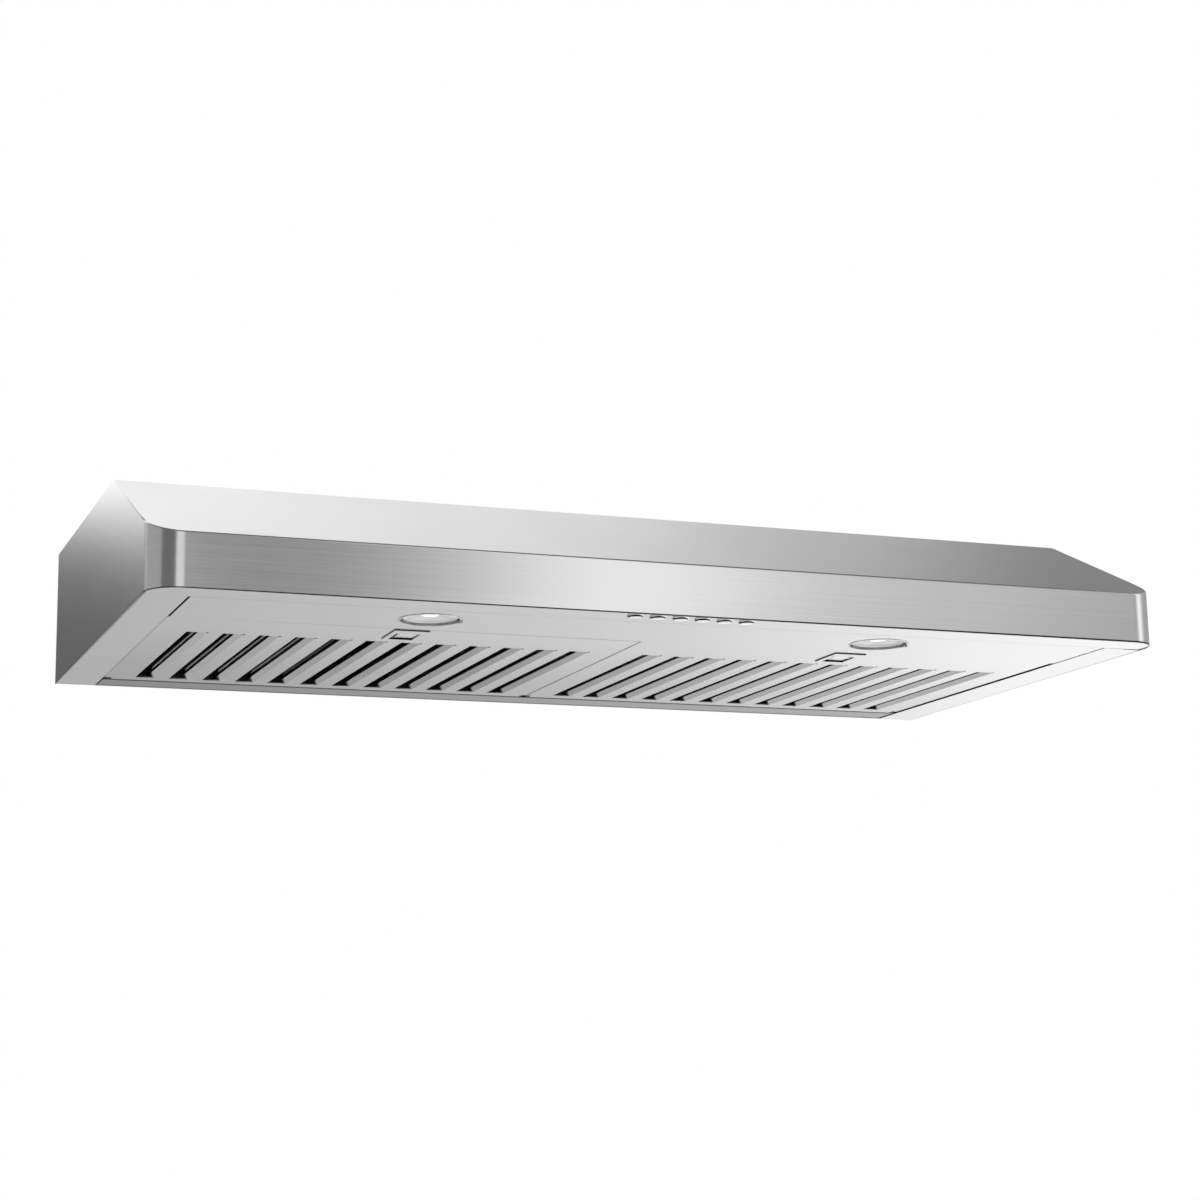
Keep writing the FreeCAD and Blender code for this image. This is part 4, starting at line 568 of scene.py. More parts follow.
def coated(name):
    """A moulded, painted or plain metal surface: fine grain, and rubbed edges in another tone."""
    if name in bpy.data.materials:
        return bpy.data.materials[name]
    colour, metallic, roughness, under, grain, relief = COATS[name]
    material, tree, shader = new_material(name, {"Metallic": metallic})
    fine = noise(tree, "surface grain", grain, 3.0)
    wear = placed_group(tree, wear_group(), Amount=0.8)["Wear"]
    plug(tree, shader, {
        "Base Color": blend(tree, "worn to what is under it", shaded(colour), shaded(under),
                            wear),
        "Roughness": mapped(tree, "roughness", fine, max(roughness - 0.08, 0.02),
                            min(roughness + 0.08, 1.0)),
        "Normal": bumped(tree, fine, relief, 0.1 * MM)})
    return material


@made_once("Pressed glass")
def lamp_glass(name):
    """Milky pressed glass, a little soft from its mould."""
    material, tree, shader = new_material(
        name, {"Specular IOR Level": 0.6, "Coat Weight": 0.5, "Coat Roughness": 0.08})
    mould = noise(tree, "mould texture", 500.0)
    plug(tree, shader, {
        "Base Color": tones(tree, mould, settings()[1].glass, 0.94, 1.0),
        "Roughness": mapped(tree, "roughness", mould, 0.14, 0.30),
        "Normal": bumped(tree, mould, 0.08, 0.1 * MM)})
    return material


@made_once("Frosted disc")
def lamp_disc(name):
    """Frosted white disc with a fine speckle, that glows a little."""
    lamp = settings()[1].lamp
    material, tree, shader = new_material(
        name, {"Roughness": 0.55, "Emission Color": shaded(lamp), "Emission Strength": 0.35})
    plug(tree, shader, {
        "Base Color": tones(tree, noise(tree, "speckle", 900.0), lamp, 0.92, 1.0)})
    return material


# ---------------------------------------------------------------- piece helpers

def dress(material, *names):
    """Gives CAD nodes, which keep their shape, a finished material."""
    for name in names:
        slots = nodes[name].data.materials
        slots.clear()
        slots.append(material)


def new_object(name, data):
    """An object at the origin, in the scene."""
    item = bpy.data.objects.new(name, data)
    bpy.context.scene.collection.objects.link(item)
    return item


def new_piece(name, mesh, material, body, finish, *replaced):
    """A finished piece at the origin that rides on a body and may stand for CAD nodes."""
    piece = new_object(name, mesh)
    mesh.materials.clear()
    mesh.materials.append(material)
    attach(piece, body)
    if replaced:
        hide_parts(*replaced)
    return piece


def as_mesh(shape, name):
    """A shape's mesh; the shape is let go."""
    mesh = bpy.data.meshes.new(name)
    shape.to_mesh(mesh)
    shape.free()
    return mesh


def baked(holder, name):
    """The plain mesh of an object with its modifiers, and the object removed."""
    graph = bpy.context.evaluated_depsgraph_get()
    mesh = bpy.data.meshes.new_from_object(holder.evaluated_get(graph))
    mesh.name = name
    old = holder.data
    bpy.data.objects.remove(holder)
    if old.users == 0:
        bpy.data.meshes.remove(old)
    return mesh


def upright_round(node):
    """An upright round node's bottom, top, centre (at z = 0) and radius."""
    low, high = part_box(node)
    centre = Vector(((low.x + high.x) / 2, (low.y + high.y) / 2, 0))
    return low.z, high.z, centre, (high.x - low.x) / 2


def ring_spot(radius, height, k, steps):
    """The k-th of the spots on a ring about the Z axis."""
    turn = math.tau * k / steps
    return Vector((radius * math.cos(turn), radius * math.sin(turn), height))


def merged_copy(node):
    """A CAD node's triangles as a joined, flat-faced shape."""
    weld, flat = 0.002 * MM, math.radians(0.5)
    shape = bmesh.new()
    shape.from_mesh(nodes[node].data)
    bmesh.ops.remove_doubles(shape, verts=shape.verts, dist=weld)
    bmesh.ops.dissolve_limit(shape, angle_limit=flat, verts=shape.verts, edges=shape.edges)
    return shape


def rounded_copy(node, name, folds=None, seat=None):
    """A CAD sheet with rounded edges.

    folds(edge middle) gives the radius of an edge that is rounder than a cut edge, and
    seat(point) a point's place where the sheet sits closer to its neighbour than its solid.
    """
    sizes = settings()[0]
    shape = merged_copy(node)
    if seat is not None:
        for corner in shape.verts:
            corner.co = seat(corner.co)
    weight = shape.edges.layers.float.new("bevel_weight_edge")
    wide = max(sizes.fold_round, sizes.edge_round)
    sharp = math.radians(20)
    for edge in shape.edges:
        if len(edge.link_faces) != 2 or edge.calc_face_angle(0.0) < sharp:
            continue
        middle = (edge.verts[0].co + edge.verts[1].co) / 2
        radius = folds(middle) if folds is not None else None
        edge[weight] = (sizes.edge_round if radius is None else radius) / wide
    plain = as_mesh(shape, name + "_plain")
    if "custom_normal" in plain.attributes:
        plain.attributes.remove(plain.attributes["custom_normal"])
    plain.polygons.foreach_set("use_smooth", [True] * len(plain.polygons))
    holder = new_object(name + "_holder", plain)
    bevel = holder.modifiers.new("Round", "BEVEL")
    bevel.limit_method = "WEIGHT"
    bevel.width = wide
    bevel.segments = 3
    bevel.harden_normals = True
    bevel.use_clamp_overlap = False
    return baked(holder, name)


def rounded_piece(node, name, material, body, finish, seat=None):
    """A rounded copy of a CAD sheet, that stands for it."""
    return new_piece(name, rounded_copy(node, name, seat=seat), material, body, finish, node)


def turned_mesh(name, rings, centre, steps):
    """A closed turned shape: rings of (radius, height) from the axis out and back to it."""
    shape = bmesh.new()
    loops = [[shape.verts.new(Vector(centre) + ring_spot(radius, height, k, steps))
              for k in range(1 if radius == 0 else steps)] for radius, height in rings]
    for lower, upper in zip(loops, loops[1:]):
        for k in range(steps):
            corners = [lower[k % len(lower)], lower[(k + 1) % len(lower)],
                       upper[(k + 1) % len(upper)], upper[k % len(upper)]]
            corners = [c for i, c in enumerate(corners) if c not in corners[:i]]
            shape.faces.new(corners).smooth = True
    bmesh.ops.recalc_face_normals(shape, faces=shape.faces)
    return as_mesh(shape, name)


def add_prism(shape, near, far):
    """A closed prism between two outlines of as many corners."""
    loops = [[shape.verts.new(spot) for spot in outline] for outline in (near, far)]
    for k in range(len(near)):
        shape.faces.new((loops[0][k], loops[0][k - 1], loops[1][k - 1], loops[1][k]))
    for loop in loops:
        shape.faces.new(loop)


def screw_head(radius, height):
    """A pan head with a cross recess, its foot on z = 0."""
    steps = 24
    shape = bmesh.new()

    def cross(k):
        return 0.56 if k % 6 == 0 else (0.53 if k % 6 in (1, 5) else 0.19)

    rings = [(lambda k: 1.0, 0.0), (lambda k: 1.0, 0.35), (lambda k: 0.88, 0.78),
             (lambda k: 0.66, 0.97), (cross, 1.0), (lambda k: 0.8 * cross(k), 0.35)]
    loops = [[shape.verts.new(ring_spot(radius * reach(k), height * level, k, steps))
              for k in range(steps)] for reach, level in rings]
    for lower, upper in zip(loops, loops[1:]):
        for k in range(steps):
            after = (k + 1) % steps
            shape.faces.new((lower[k], lower[after], upper[after], upper[k])).smooth = True
    shape.faces.new(loops[-1])
    shape.faces.new(list(reversed(loops[0])))
    return as_mesh(shape, "screw_head")


@made_once("Scatter on points", "node_groups")
def scatter_tree(name):
    """Geometry Nodes: one shape on every point, turned to face a direction."""
    tree, given, out = new_group(
        name, "GeometryNodeTree",
        [("Geometry", "NodeSocketGeometry", None), ("Shape", "NodeSocketObject", None),
         ("Facing", "NodeSocketVector", (0.0, 0.0, 1.0)),
         ("Finish", "NodeSocketMaterial", None)],
        [("Geometry", "NodeSocketGeometry")])
    source = add_node(tree, "GeometryNodeObjectInfo", "", {"Object": given["Shape"]})
    turn = add_node(tree, "FunctionNodeAlignRotationToVector", "", {"Vector": given["Facing"]},
                    axis="Z")
    copies = add_node(tree, "GeometryNodeInstanceOnPoints", "", {
        "Points": given["Geometry"], "Instance": source.outputs["Geometry"],
        "Rotation": turn.outputs["Rotation"]})
    real = add_node(tree, "GeometryNodeRealizeInstances", "", {
        "Geometry": copies.outputs["Instances"]})
    finish = add_node(tree, "GeometryNodeSetMaterial", "", {
        "Geometry": real.outputs["Geometry"], "Material": given["Finish"]})
    plug(tree, out, {"Geometry": finish.outputs["Geometry"]})
    return tree


def scattered_piece(name, shape_mesh, places, material, body, finish, facing=(0.0, 0.0, 1.0)):
    """One piece with a copy of a shape at every place, made by Geometry Nodes."""
    points = bpy.data.meshes.new(name + "_points")
    points.from_pydata([tuple(place) for place in places], [], [])
    holder = new_object(name + "_holder", points)
    source = new_object(name + "_shape", shape_mesh)
    tree = scatter_tree()
    spread = holder.modifiers.new("Scatter", "NODES")
    spread.node_group = tree
    spread[socket_id(tree, "Shape")] = source
    spread[socket_id(tree, "Facing")] = facing
    spread[socket_id(tree, "Finish")] = material
    mesh = baked(holder, name)
    bpy.data.objects.remove(source)
    return new_piece(name, mesh, material, body, finish)


# ---------------------------------------------------------------- seats of the underside sheets

def strip_seat(point):
    """The left strip's inner edge, that much nearer to the wall of the canopy."""
    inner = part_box("left_strip")[1].x
    return point - Vector((settings()[0].strip_draw, 0, 0)) * (point.x > inner - AT_EDGE)


def right_strip_seat(point):
    """The right strip: its inner edge clear of the filter, its outer edge level with the rim."""
    low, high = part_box("right_strip")
    aside = settings()[0].right_draw * (point.x < low.x + AT_EDGE)
    drop = (low.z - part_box("canopy_shell")[0].z) * (point.x > high.x - AT_EDGE)
    return point + Vector((aside, 0, -drop))


def light_panel_seat(point):
    """The light panel's left end, a narrow gap away from the strip."""
    sizes = settings()[0]
    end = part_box("light_panel")[0].x
    gap_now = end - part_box("left_strip")[1].x + sizes.strip_draw
    return point - Vector((gap_now - sizes.end_gap, 0, 0)) * (point.x < end + AT_EDGE)


def filter_seat(side):
    """A filter's outer walls, snug against the strip and the light panel."""
    sizes = settings()[0]
    low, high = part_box("filter_%s_face" % side)
    left = side == "left"
    forward = low.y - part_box("light_panel")[1].y - sizes.snug_gap
    aside = (low.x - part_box("left_strip")[1].x + sizes.strip_draw - sizes.snug_gap) * left
    slant = sizes.front_slant * left

    def seat(point):
        if point.y < low.y + AT_EDGE:
            share = (point.x - low.x) / (high.x - low.x)
            point = point - Vector((0, forward - slant * share, 0))
        if point.x < low.x + AT_EDGE:
            point = point - Vector((aside, 0, 0))
        return point

    return seat


# ---------------------------------------------------------------- canopy and panels

class HOOD_OT_canopy(bpy.types.Operator):
    """Wraps the canopy in brushed steel with rounded folds"""
    bl_idname = "hood.canopy"
    bl_label = "Canopy"

    def execute(self, context):
        sizes = settings()[0]
        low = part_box("canopy_shell")[0]
        foot = low.z + 1.5 * MM

        def folds(middle):
            if middle.y > low.y + sizes.fold_end:
                return None
            return sizes.fold_round if middle.z > foot else sizes.rim_round

        mesh = rounded_copy("canopy_shell", "canopy", folds)
        rim = self.underfaces(mesh, foot)
        new_piece("canopy", mesh, shell_steel(), "hood", "brushed_shell", "canopy_shell")
        new_piece("canopy_rim", rim, panel_steel(), "hood", "brushed_panel")
        dress(zinc_sheet(), "top_panel", "back_panel")
        return {"FINISHED"}

    def underfaces(self, mesh, foot):
        """A copy, a hair lower, of the faces at the canopy's foot that look straight down."""
        straight_down, hair = -0.995, 0.02 * MM
        rim = bmesh.new()
        rim.from_mesh(mesh)
        other = [face for face in rim.faces
                 if face.normal.z > straight_down or face.calc_center_median().z > foot]
        bmesh.ops.delete(rim, geom=other, context="FACES")
        bmesh.ops.translate(rim, verts=rim.verts, vec=(0, 0, -hair))
        return as_mesh(rim, "canopy_rim")


class HOOD_OT_underside(bpy.types.Operator):
    """Gives the underside panels satin steel with soft edges"""
    bl_idname = "hood.underside"
    bl_label = "Underside panels"

    def execute(self, context):
        for node, seat in (("front_lip", None), ("left_strip", strip_seat),
                           ("right_strip", right_strip_seat), ("light_panel", light_panel_seat)):
            rounded_piece(node, node + "_sheet", panel_steel(), "hood", "brushed_panel", seat)
        rounded_piece("rear_rail", "rear_rail_sheet", rail_steel(), "hood", "brushed_panel")
        return {"FINISHED"}


# ---------------------------------------------------------------- filters

class HOOD_OT_filters(bpy.types.Operator):
    """Finishes the two baffle filters and their latches"""
    bl_idname = "hood.filters"
    bl_label = "Baffle filters"

    def execute(self, context):
        for side in ("left", "right"):
            body, latch = "filter_" + side, "latch_" + side
            rounded_piece(body + "_face", body + "_sheet", filter_steel(), body, "filter_steel",
                          filter_seat(side))
            rounded_piece(latch + "_cup", latch + "_rim", panel_steel(), body, "filter_steel")
            rounded_piece(latch + "_slide", latch + "_thumb", panel_steel(), latch,
                          "filter_steel")
            new_piece(latch + "_pad", self.pad(latch + "_pad", latch + "_slide"), panel_steel(),
                      latch, "filter_steel")
            self.lance_ends(body)
            dress(baffle_steel(), body + "_baffles")
            dress(coated("Spring steel"), latch + "_spring")
        return {"FINISHED"}

    def lance_ends(self, body):
        """The dark end of the cut in front of every lip, with its relief hole."""
        sizes = settings()[0]
        low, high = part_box(body + "_face")
        first = low.x + sizes.slot_margin + sizes.slot_width
        pitch = ((high.x - low.x - 2 * sizes.slot_margin - sizes.slot_width)
                 / (sizes.slot_count - 1))
        run, rise, thick, deep = 4.4 * MM, 3.2 * MM, 0.45 * MM, 0.6 * MM
        root, bend, hole = 0.9 * MM, -0.2 * MM, 0.8 * MM
        near, far = [[(root, y, 0.0), (root, y, -0.5 * thick), (bend, y, -thick),
                      (-run, y, rise - thick), (-run, y, rise), (bend, y, 0.0)]
                     for y in (0.0, deep)]
        shape = bmesh.new()
        add_prism(shape, near, far)
        bmesh.ops.create_cone(shape, cap_ends=True, segments=14, radius1=hole, radius2=hole,
                              depth=0.5 * MM,
                              matrix=Matrix.Translation((1.0 * MM, deep / 2, 0.2 * MM)))
        bmesh.ops.recalc_face_normals(shape, faces=shape.faces)
        places = [(first + k * pitch, low.y + sizes.slot_front, low.z)
                  for k in range(sizes.slot_count)]
        scattered_piece(body + "_lance_ends", as_mesh(shape, "lance_end"), places,
                        coated("Painted shade of the lance ends"), body, "filter_steel")

    def pad(self, name, slide):
        """A ribbed finger plate over the slide's scoop, inside its window."""
        ribs = settings()[0].pad_ribs
        low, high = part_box(slide)
        left, right = low.x + 5.1 * MM, high.x - 0.8 * MM
        start, end = low.y + 4.8 * MM, high.y - 1.6 * MM
        thick, rise, foot, crest = 0.5 * MM, 0.3 * MM, 0.9 * MM, 0.3 * MM
        line = [(start, low.z)]
        for k in range(1, ribs + 1):
            at = start + (end - start) * k / (ribs + 1)
            line += [(at - foot, low.z), (at - crest, low.z - rise),
                     (at + crest, low.z - rise), (at + foot, low.z)]
        line += [(end, low.z), (end, low.z + thick), (start, low.z + thick)]
        shape = bmesh.new()
        add_prism(shape, *[[(x, y, z) for y, z in line] for x in (left, right)])
        bmesh.ops.recalc_face_normals(shape, faces=shape.faces)
        return as_mesh(shape, name)


# ---------------------------------------------------------------- controls and lamps

class HOOD_OT_controls(bpy.types.Operator):
    """Turns the chromed push buttons and finishes the switch behind them"""
    bl_idname = "hood.controls"
    bl_label = "Push buttons"

    def execute(self, context):
        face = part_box("front_lip")[0].z - settings()[0].button_stand
        stem, skirt, curve, dish = 3 * MM, face + 7 * MM, 0.5 * MM, 0.12 * MM
        for k in range(1, 7):
            node = "button_%d" % k
            _, top, centre, radius = upright_round(node)
            rings = [(0, top), (stem, top), (stem, skirt), (radius, skirt),
                     (radius, face + curve)]
            rings += [(radius - curve + curve * math.cos(a), face + curve - curve * math.sin(a))
                      for a in (math.radians(d) for d in range(15, 91, 15))]
            rings += [(radius * 0.6, face - dish * 2 / 3), (0, face - dish)]
            mesh = turned_mesh(node + "_cap", rings, centre, 48)
            new_piece(node + "_cap", mesh, button_plate(), node, "chrome", node)
        dress(bezel_steel(), "button_bezels")
        dress(zinc_sheet(), "switch_bracket")
        dress(coated("Black nylon"), "switch_block")
        return {"FINISHED"}


class HOOD_OT_lamps(bpy.types.Operator):
    """Builds the pressed lamp glasses and finishes the lamps"""
    bl_idname = "hood.lamps"
    bl_label = "Lamps"

    def execute(self, context):
        sizes = settings()[0]
        for side in ("left", "right"):
            lamp = "lamp_" + side
            bottom, top, centre, radius = upright_round(lamp + "_lens")
            foot = bottom - sizes.lens_drop
            rim, middle = 0.90 * radius, 0.30 * radius
            bead, shoulder, ridge = 0.7 * MM, 1.2 * MM, 0.55 * MM
            floor, deep = foot + 0.2 * MM, top - 0.4 * MM
            rings = [(0, top), (radius, top), (radius, foot), (rim + shoulder, foot),
                     (rim + shoulder / 2, foot - bead), (rim - shoulder / 2, foot - bead),
                     (rim - shoulder, floor)]
            span = rim - shoulder - middle
            for k in range(1, sizes.lens_rings + 1):
                share = k / sizes.lens_rings
                height = floor + (deep - floor) * share
                rings += [(rim - shoulder - (share - 0.5 / sizes.lens_rings) * span,
                           height - ridge), (rim - shoulder - share * span, height)]
            rings.append((0, deep))
            mesh = turned_mesh(lamp + "_glass", rings, centre, 96)
            new_piece(lamp + "_glass", mesh, lamp_glass(), "hood", "lamp_glass", lamp + "_lens")
            drop = turned_mesh("bead", [(0, -0.6), (0.7, -0.5), (1, 0), (0.7, 0.5), (0, 0.6)],
                               (0, 0, 0), 8)
            drop.transform(Matrix.Scale(sizes.bead_radius, 4))
            places = [centre + ring_spot(rim, foot - bead, k, sizes.lens_beads)
                      for k in range(sizes.lens_beads)]
            scattered_piece(lamp + "_beads", drop, places, lamp_glass(), "hood", "lamp_glass")
            mesh = turned_mesh(lamp + "_spot", [
                (0, deep), (middle, deep), (middle, deep - 0.3 * MM),
                (0.7 * middle, deep - 0.9 * MM), (0, deep - 1.2 * MM)], centre, 48)
            new_piece(lamp + "_spot", mesh, lamp_disc(), "hood", "lamp_disc")
            rounded_piece(lamp + "_ring", lamp + "_trim", ring_steel(), "hood", "chrome")
            dress(lamp_disc(), lamp + "_emitter")
            dress(coated("Cast aluminium"), lamp + "_housing")
        return {"FINISHED"}


# ---------------------------------------------------------------- blower, electrics, duct

class HOOD_OT_blower(bpy.types.Operator):
    """Finishes the blower housing, wheel and motor"""
    bl_idname = "hood.blower"
    bl_label = "Blower"

    def execute(self, context):
        dress(zinc_sheet(), "blower_scroll", "blower_base", "blower_wheel")
        dress(coated("Motor enamel"), "motor")
        dress(coated("Bush rubber"), "motor_bushes")
        dress(coated("Ground steel"), "motor_shaft")
        return {"FINISHED"}


class HOOD_OT_electrics(bpy.types.Operator):
    """Finishes the wiring box, terminals and capacitor"""
    bl_idname = "hood.electrics"
    bl_label = "Electrics"

    def execute(self, context):
        dress(zinc_sheet(), "wiring_box", "wiring_cover", "capacitor_clip")
        dress(coated("White nylon"), "terminal_block")
        dress(coated("Drawn aluminium can"), "capacitor")
        return {"FINISHED"}


class HOOD_OT_duct(bpy.types.Operator):
    """Finishes the duct adapter, its damper and its screws"""
    bl_idname = "hood.duct"
    bl_label = "Duct adapter"

    def execute(self, context):
        dress(zinc_sheet(), "duct_adapter", "damper_front_leaf", "damper_rear_leaf")
        dress(coated("Ground steel"), "damper_rod", "adapter_screws")
        return {"FINISHED"}


class HOOD_OT_screws(bpy.types.Operator):
    """Sets the sheet metal screws of the back panel and the wiring cover"""
    bl_idname = "hood.screws"
    bl_label = "Sheet metal screws"

    def execute(self, context):
        inset = settings()[0].screw_inset
        low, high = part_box("back_panel")
        self.screws("back_screws", (0.0, 1.0, 0.0), [
            (x, high.y, z) for z in (low.z + inset, high.z - inset)
            for x in (low.x + inset, low.x / 2, -low.x / 2, -low.x - inset)])
        low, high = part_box("wiring_cover")
        self.screws("cover_screws", (0.0, 0.0, -1.0), [
            (x, y, low.z) for x in (low.x + inset, high.x - inset)
            for y in (low.y + inset, high.y - inset)])
        return {"FINISHED"}

    def screws(self, name, facing, places):
        """Pan heads at places on a sheet, facing away from it."""
        sizes = settings()[0]
        scattered_piece(name, screw_head(sizes.screw_radius, sizes.screw_height), places,
                        coated("Ground steel"), "hood", "bright_steel", facing)


# ---------------------------------------------------------------- studio

def flat_mesh(name, *corners):
    """A mesh of one four-cornered face."""
    mesh = bpy.data.meshes.new(name)
    mesh.from_pydata(corners, [], [(0, 1, 2, 3)])
    return mesh


def card_material(name, across, upward):
    """A lit card: one brightness curve along it times one up it, each as (place, level)."""
    material = bpy.data.materials.new(name)
    material.use_nodes = True
    tree = material.node_tree
    tree.nodes.clear()
    place = own_parts(tree)
    curves = []
    strength = 1.0
    for axis, stops in enumerate((across, upward)):
        peak = max(level for _, level in stops)
        strength *= peak
        curves.append(ramp(tree, place[axis],
                           [(where, (level / peak,) * 3) for where, level in stops]))
    glow = add_node(tree, "ShaderNodeEmission", "", {
        "Color": sum_of(tree, "MULTIPLY", "both curves", *curves), "Strength": strength})
    add_node(tree, "ShaderNodeOutputMaterial", "", {"Surface": glow.outputs[0]})
    return material


def studio_card(name, corner, along, up, across, upward=((0.0, 1.0), (1.0, 1.0))):
    """A flat card from a corner, that only reflections see.

    The curves' places are metres along and up the card, from its corner.
    """
    mesh = flat_mesh(name, (0, 0, 0), (1, 0, 0), (1, 1, 0), (0, 1, 0))
    card = new_object(name, mesh)
    along, up = Vector(along), Vector(up)
    curves = [[(where / side.length, level) for where, level in stops]
              for side, stops in ((along, across), (up, upward))]
    mesh.materials.append(card_material(name, *curves))
    frame_of_card = Matrix((along, up, along.cross(up).normalized())).transposed().to_4x4()
    card.matrix_world = Matrix.Translation(corner) @ frame_of_card
    card.visible_camera = False
    card.visible_shadow = False
    card.visible_diffuse = False


def soft_light(name, place, aim, width, height, power):
    """An area light, itself out of sight, that the steel doesn't mirror."""
    light = bpy.data.lights.new(name, "AREA")
    light.shape = "RECTANGLE"
    light.size = width
    light.size_y = height
    light.energy = power
    lamp = new_object(name, light)
    lamp.location = place
    lamp.rotation_mode = "QUATERNION"
    lamp.rotation_quaternion = (Vector(aim) - Vector(place)).to_track_quat("-Z", "Y")
    lamp.visible_camera = False
    lamp.visible_glossy = False


def white_surroundings(backdrop, ambient):
    """A world that is plain white to the camera and in reflections, and soft on matt parts."""
    world = bpy.data.worlds.new("Studio")
    bpy.context.scene.world = world
    world.use_nodes = True
    tree = world.node_tree
    tree.nodes.clear()
    path = add_node(tree, "ShaderNodeLightPath").outputs
    seen = sum_of(tree, "MAXIMUM", "seen or mirrored", path["Is Camera Ray"],
                  path["Is Glossy Ray"])
    shows = sum_of(tree, "MAXIMUM", "or through glass", seen, path["Is Transmission Ray"])
    soft, white = [
        add_node(tree, "ShaderNodeBackground", label,
                 {"Color": (1.0, 1.0, 1.0, 1.0), "Strength": strength}).outputs[0]
        for label, strength in (("soft light", ambient), ("white", backdrop))]
    mix = add_node(tree, "ShaderNodeMixShader", "", {"Fac": shows, 1: soft, 2: white})
    add_node(tree, "ShaderNodeOutputWorld", "", {"Surface": mix.outputs[0]})


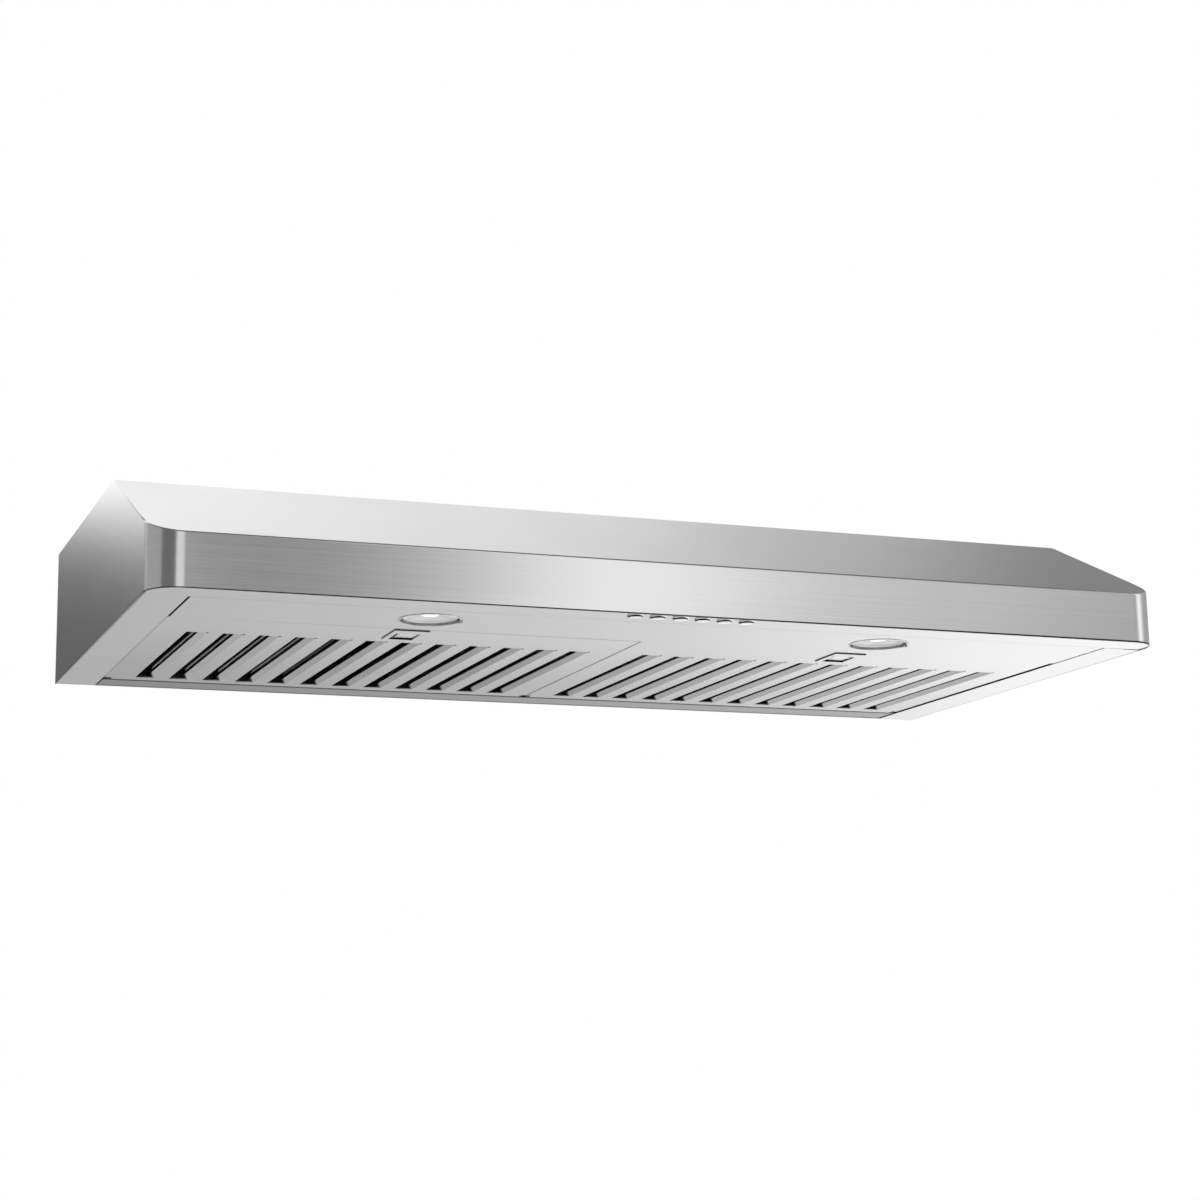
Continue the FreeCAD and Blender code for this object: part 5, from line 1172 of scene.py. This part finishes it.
class HOOD_OT_studio(bpy.types.Operator):
    """Sets the camera, the white surroundings, the floor and the light"""
    bl_idname = "hood.studio"
    bl_label = "Studio"

    def execute(self, context):
        studio = context.scene.hood_studio
        camera = new_object("camera", bpy.data.cameras.new("camera"))
        camera.data.lens = studio.lens
        camera.data.sensor_width = 36.0
        sight = Vector(studio.camera_aim) - Vector(studio.camera_place)
        camera.matrix_world = (Matrix.Translation(studio.camera_place)
                               @ sight.to_track_quat("-Z", "Y").to_matrix().to_4x4()
                               @ Matrix.Rotation(studio.camera_roll, 4, "Z"))
        camera.data.clip_end = 100.0
        context.scene.camera = camera
        context.scene.view_settings.view_transform = "Standard"
        white_surroundings(studio.backdrop, studio.ambient)
        self.floor(studio.floor_level)
        self.cards(studio.card_level)
        hood = (0.0, -0.1, -0.06)
        soft_light("right_light", (3.3, -0.6, 0.4), hood, 1.6, 2.2, 60.0)
        soft_light("top_light", (-0.6, -1.2, 2.6), hood, 2.4, 1.6, 60.0)
        return {"FINISHED"}

    def floor(self, level):
        """A wide pale floor."""
        half = 5.0
        mesh = flat_mesh("floor", (-half, -half, level), (half, -half, level),
                         (half, half, level), (-half, half, level))
        floor = new_object("floor", mesh)
        mesh.materials.append(new_material(
            "Studio floor", {"Roughness": 0.9, "Base Color": (0.92, 0.92, 0.92, 1.0)})[0])

    def cards(self, floor):
        """Grey and white cards round the hood, that the steel mirrors."""
        left, right, front, rear, middle, tall = -3.2, 3.6, -3.4, 3.0, -0.1, 5.5
        across, back, up = (right - left, 0, 0), (0, rear - front, 0), (0, 0, tall)
        studio_card("front_card", (left, front, floor), across, up,
                    [(0.0, 0.2), (1.6, 0.2), (1.7, 1.0), (2.95, 1.0), (3.15, 0.20),
                     (3.6, 0.37), (3.75, 0.52), (4.2, 1.45), (4.45, 1.4), (4.75, 0.93),
                     (5.1, 0.74), (5.5, 0.82), (5.8, 0.58), (6.8, 0.45)])
        studio_card("right_card", (right, front, floor), back, up,
                    [(0.0, 0.5), (0.3, 0.6), (1.2, 1.5), (1.6, 1.45), (2.6, 0.6), (3.0, 0.5),
                     (6.4, 0.45)])
        studio_card("left_card", (left, front, floor), back, up,
                    [(0.0, 0.2), (1.9, 0.2), (2.1, 0.47), (6.4, 0.47)])
        studio_card("rear_low_card", (left, rear, floor), across, (0, 0, middle - floor),
                    [(0.0, 0.7), (3.4, 0.87), (3.8, 0.94), (4.35, 1.1), (4.65, 1.24),
                     (4.9, 1.42), (5.45, 1.85), (5.85, 2.02), (6.8, 2.1)],
                    [(0.0, 0.38), (0.33, 0.42), (0.41, 1.26), (0.49, 1.46), (0.55, 1.08),
                     (0.60, 0.62), (0.67, 0.42), (0.8, 0.36), (1.2, 0.3)])
        studio_card("rear_left_card", (left, rear - 0.02, middle), (3.8, 0, 0), (0, 0, 1.4),
                    [(0.0, 0.5), (1.5, 0.5), (1.9, 1.0), (3.8, 1.0)],
                    [(0.0, 0.12), (0.55, 0.12), (0.67, 0.14), (0.755, 0.26), (0.81, 0.7),
                     (0.88, 1.6), (1.4, 1.9)])
        studio_card("rear_top_card", (left, rear, middle), across,
                    (0, 0, floor + tall - middle),
                    [(0.0, 1.45), (3.6, 1.4), (4.4, 1.17), (4.8, 1.08), (5.1, 0.82),
                     (5.45, 0.72), (5.75, 0.56), (6.05, 0.34), (6.8, 0.2)])
        studio_card("ceiling_card", (left, front, floor + tall), across, back,
                    [(0.0, 0.15), (6.8, 0.15)])
        studio_card("floor_card", (left, front, floor + 0.01), across, back,
                    [(0.0, 0.6), (2.8, 0.6), (3.4, 0.95), (4.0, 1.4), (6.8, 1.5)],
                    [(0.0, 0.25), (2.9, 0.25), (3.2, 1.5), (3.9, 1.5), (4.3, 0.4),
                     (5.1, 0.5), (5.6, 0.9), (6.4, 0.9)])


class HOOD_PT_panel(bpy.types.Panel):
    bl_idname = "HOOD_PT_panel"
    bl_label = "Range hood"
    bl_space_type = "VIEW_3D"
    bl_region_type = "UI"
    bl_category = "Hood"

    def draw(self, context):
        for group in ("hood_sizes", "hood_colours", "hood_studio"):
            settings_group = getattr(context.scene, group)
            box = self.layout.box()
            for name in settings_group.__annotations__:
                box.prop(settings_group, name)
        for operator in OPERATORS:
            self.layout.operator(operator.bl_idname)


OPERATORS = (HOOD_OT_studio, HOOD_OT_canopy, HOOD_OT_underside, HOOD_OT_filters,
             HOOD_OT_controls, HOOD_OT_lamps, HOOD_OT_blower, HOOD_OT_electrics, HOOD_OT_duct,
             HOOD_OT_screws)
GROUPS = {"hood_sizes": HoodSizes, "hood_colours": HoodColours, "hood_studio": HoodStudio}


def register():
    for group in GROUPS.values():
        bpy.utils.register_class(group)
    for name, group in GROUPS.items():
        setattr(bpy.types.Scene, name, PointerProperty(type=group))
    for operator in OPERATORS:
        bpy.utils.register_class(operator)
    bpy.utils.register_class(HOOD_PT_panel)


def unregister():
    bpy.utils.unregister_class(HOOD_PT_panel)
    for operator in reversed(OPERATORS):
        bpy.utils.unregister_class(operator)
    for name, group in GROUPS.items():
        delattr(bpy.types.Scene, name)
        bpy.utils.unregister_class(group)


def main():
    register()
    for operator in OPERATORS:
        getattr(bpy.ops.hood, operator.bl_idname.split(".")[1])()


if __name__ == "__main__":
    main()
